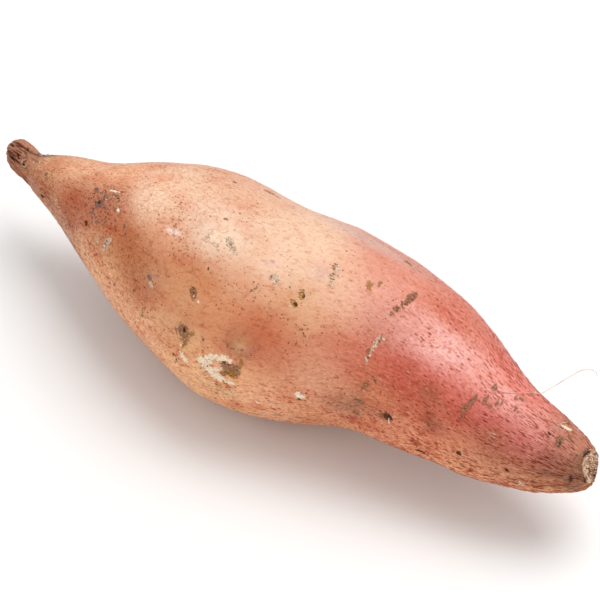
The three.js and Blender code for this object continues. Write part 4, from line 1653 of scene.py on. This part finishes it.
@dataclass
class Rootlets:
    """The dry rootlets: a long hair that leaves the skin, a curl on the neck and a thread that is stuck down.

    Attributes:
        surface: The root's surface.
        lift: How high the middle of a rootlet lies over the skin, in millimetres.
        thick: The radius of the hair where it starts, in millimetres.
        thin: Its radius at its tip, in millimetres.
        sides: How many sides each has.
        on_skin: Where the hair lies on the skin, along and around.
        in_air: Where it goes from there, in millimetres.
        curl_middle: The middle of the curl, along and around.
        curl_reach: How far it goes out from there, in millimetres along and degrees around.
        curl_arc: From where to where it goes round, in degrees.
        curl_radii: Its radius at its first and last end, in millimetres.
        stuck: Where the thread lies on the skin, along and around.
        stuck_lift: How high its middle lies over the skin, in millimetres.
        stuck_radii: Its radius at its first and last end, in millimetres.
    """

    surface: Surface
    lift: float = 0.3
    thick: float = 0.08
    thin: float = 0.07
    sides: int = 7
    on_skin: tuple[tuple[float, float], ...] = ((75.5, 8), (77.7, -2), (79.9, -14), (81.3, -28), (81.9, -46))
    in_air: tuple[tuple[float, float, float], ...] = (
        (83.1, 16.9, 34.8),
        (84.7, 19.3, 36.2),
        (86.5, 21.1, 38.1),
        (88.3, 22.0, 40.2),
        (90.5, 22.1, 41.8),
        (92.5, 21.7, 42.7),
        (93.5, 21.3, 41.7),
    )
    curl_middle: tuple[float, float] = (-94.1, 43.0)
    curl_reach: tuple[float, float] = (1.0, 12.0)
    curl_arc: tuple[float, float] = (15, 265)
    curl_radii: tuple[float, float] = (0.13, 0.1)
    stuck: tuple[tuple[float, float], ...] = ((91.6, -8), (92.0, -16), (92.4, -25), (92.8, -34))
    stuck_lift: float = 0.12
    stuck_radii: tuple[float, float] = (0.13, 0.09)

    def _strand(self, name: str, corners: np.ndarray, thick: float, thin: float) -> bpy.types.Object:
        """Makes a tapering round thread through some points.

        Args:
            name: Its name.
            corners: The points, in millimetres.
            thick: Its radius at the first point, in millimetres.
            thin: Its radius at the last.

        Returns:
            The object.
        """
        ends = [2 * corners[0] - corners[1], *corners, 2 * corners[-1] - corners[-2]]
        line = []
        for a, b, c, d in zip(ends, ends[1:], ends[2:], ends[3:]):
            for t in np.arange(0, 1, 0.125):
                line.append(0.5 * (2 * b + (c - a) * t + (2 * a - 5 * b + 4 * c - d) * t * t
                                   + (3 * b - a - 3 * c + d) * t**3))
        line = np.array([*line, corners[-1]])
        ways = np.gradient(line, axis=0)
        ways /= np.linalg.norm(ways, axis=1, keepdims=True)
        side = np.cross(ways[0], [0.3, 0.2, 0.9])
        radii = np.linspace(thick, thin, len(line))
        points = []
        for place, way, radius in zip(line, ways, radii):
            side = side - way * (side @ way)
            side /= np.linalg.norm(side)
            other = np.cross(way, side)
            for turn in np.arange(self.sides) * 2 * math.pi / self.sides:
                points.append(place + radius * (side * math.cos(turn) + other * math.sin(turn)))
        faces = ring_quads(len(line), self.sides)
        faces += [tuple(reversed(range(self.sides))), tuple(range(len(points) - self.sides, len(points)))]
        return new_object(name, np.array(points), faces)

    def build(self) -> None:
        """Makes each rootlet and dresses it."""
        finish = RootletFinish().material()
        lies = [self.surface.spot(along, around, self.lift) for along, around in self.on_skin]
        hair = self._strand("hair", np.array([*lies, *self.in_air]), self.thick, self.thin)
        turns = np.radians(np.linspace(*self.curl_arc, 9))
        ring = np.stack([np.cos(turns), np.sin(turns)], axis=1) * self.curl_reach + self.curl_middle
        ring = np.array([self.surface.spot(along, around, self.lift) for along, around in ring])
        curl = self._strand("curl", ring, *self.curl_radii)
        lies = [self.surface.spot(along, around, self.stuck_lift) for along, around in self.stuck]
        thread = self._strand("thread", np.array(lies), *self.stuck_radii)
        for made, nodes in ((hair, ["hair_root"]), (curl, ["curled_rootlet"]), (thread, [])):
            made.data.materials.append(finish)
            declare(made, "rootlet", *nodes)


@dataclass(frozen=True)
class TableFinish:
    """A sprayed matt lacquer board: near white and even, so that only the soft shadow shows on it.

    Attributes:
        colour: Its sRGB colour.
        roughness: Its roughness.
    """

    colour: str = "#F6F6F5"
    roughness: float = 0.9

    def material(self) -> bpy.types.Material:
        """Builds the material."""
        made, _, shader = new_material("matt_lacquered_board")
        shader.inputs["Base Color"].default_value = linear(self.colour)
        shader.inputs["Roughness"].default_value = self.roughness
        return made


def way_to(azimuth: float, elevation: float) -> Vector:
    """The direction from the root to a camera or a lamp.

    Args:
        azimuth: Where it stands, in degrees from the front towards +X.
        elevation: How high it stands, in degrees.

    Returns:
        The direction, one long.
    """
    turn, tilt = math.radians(azimuth), math.radians(elevation)
    return Vector((math.sin(turn) * math.cos(tilt), -math.cos(turn) * math.cos(tilt), math.sin(tilt)))


@dataclass(frozen=True)
class Lamp:
    """A square soft lamp that faces the root.

    Attributes:
        name: Its name.
        azimuth: Where it stands, in degrees from the front towards +X.
        elevation: How high it stands, in degrees.
        far: How far away it is, in metres.
        size: How wide it is, in metres.
        power: Its power, in watts.
    """

    name: str
    azimuth: float
    elevation: float
    far: float
    size: float
    power: float

    def build(self) -> None:
        """Makes the lamp."""
        data = bpy.data.lights.new(self.name, "AREA")
        data.size = self.size
        data.energy = self.power
        way = way_to(self.azimuth, self.elevation)
        lamp = bpy.data.objects.new(self.name, data)
        lamp.location = way * self.far
        lamp.rotation_euler = way.to_track_quat("Z", "Y").to_euler()
        bpy.context.scene.collection.objects.link(lamp)


@dataclass(frozen=True)
class Studio:
    """A pale table top under soft light, seen from above its front.

    Attributes:
        azimuth: Where the camera stands, in degrees from the front towards +X.
        elevation: How high it stands, in degrees.
        distance: How far it is from what it looks at, in millimetres.
        aim: What it looks at, in millimetres.
        lens: Its focal length, in millimetres.
        table: How wide the table top is, in metres.
        daylight: How bright the pale surroundings are.
        lamps: The lamps.
    """

    azimuth: float = 36.6
    elevation: float = 45.0
    distance: float = 560.8
    aim: tuple[float, float, float] = (10.15, 0.0, 38.1)
    lens: float = 120.0
    table: float = 6.0
    daylight: float = 0.66
    lamps: tuple[Lamp, ...] = (
        Lamp("overhead", azimuth=150.0, elevation=72.0, far=0.8, size=0.55, power=3.9),
        Lamp("front_fill", azimuth=10.0, elevation=15.0, far=1.2, size=1.0, power=1.7),
    )

    def place_camera(self) -> None:
        """Makes the scene's camera."""
        back = way_to(self.azimuth, self.elevation)
        data = bpy.data.cameras.new("camera")
        data.lens = self.lens
        camera = bpy.data.objects.new("camera", data)
        camera.location = (Vector(self.aim) + back * self.distance) * MM
        camera.rotation_euler = back.to_track_quat("Z", "Y").to_euler()
        bpy.context.scene.collection.objects.link(camera)
        bpy.context.scene.camera = camera

    def build(self) -> None:
        """Makes the table top, the lamps, the pale surroundings and the camera."""
        bpy.ops.mesh.primitive_plane_add(size=self.table)
        floor = bpy.context.object
        floor.name = "table_top"
        floor.data.materials.append(TableFinish().material())
        world = bpy.data.worlds.new("surroundings")
        world.use_nodes = True
        background = world.node_tree.nodes["Background"].inputs
        background["Color"].default_value = linear("#FFFFFF")
        background["Strength"].default_value = self.daylight
        bpy.context.scene.world = world
        for lamp in self.lamps:
            lamp.build()
        bpy.context.scene.view_settings.view_transform = "Standard"
        self.place_camera()


def main() -> None:
    """Builds every piece in order."""
    logging.basicConfig(level=logging.INFO, format="%(name)s: %(message)s")
    surface = Surface()
    skin = Skin(surface, MARKS)
    skin.sculpt()
    skin.build()
    colours = skin.colours()
    for layer in Layer:
        Scabs(surface, layer).build(MARKS, colours)
    growth = Growth(surface)
    Lenticels(surface, "lenticels", per_cm2=58.0, shortest=0.25, longest=0.8, width=0.11, height=0.08,
              seed=31).build(growth.lenticels(), growth.stretch(), colours)
    Lenticels(surface, "pores", per_cm2=90.0, shortest=0.12, longest=0.24, width=0.13, height=0.06,
              seed=32, finish=PORE_FINISH).build(growth.pores(), np.ones_like(growth.low), colours)
    CutEnd(surface).build()
    Rootlets(surface).build()
    Studio().build()


if __name__ == "__main__":
    main()
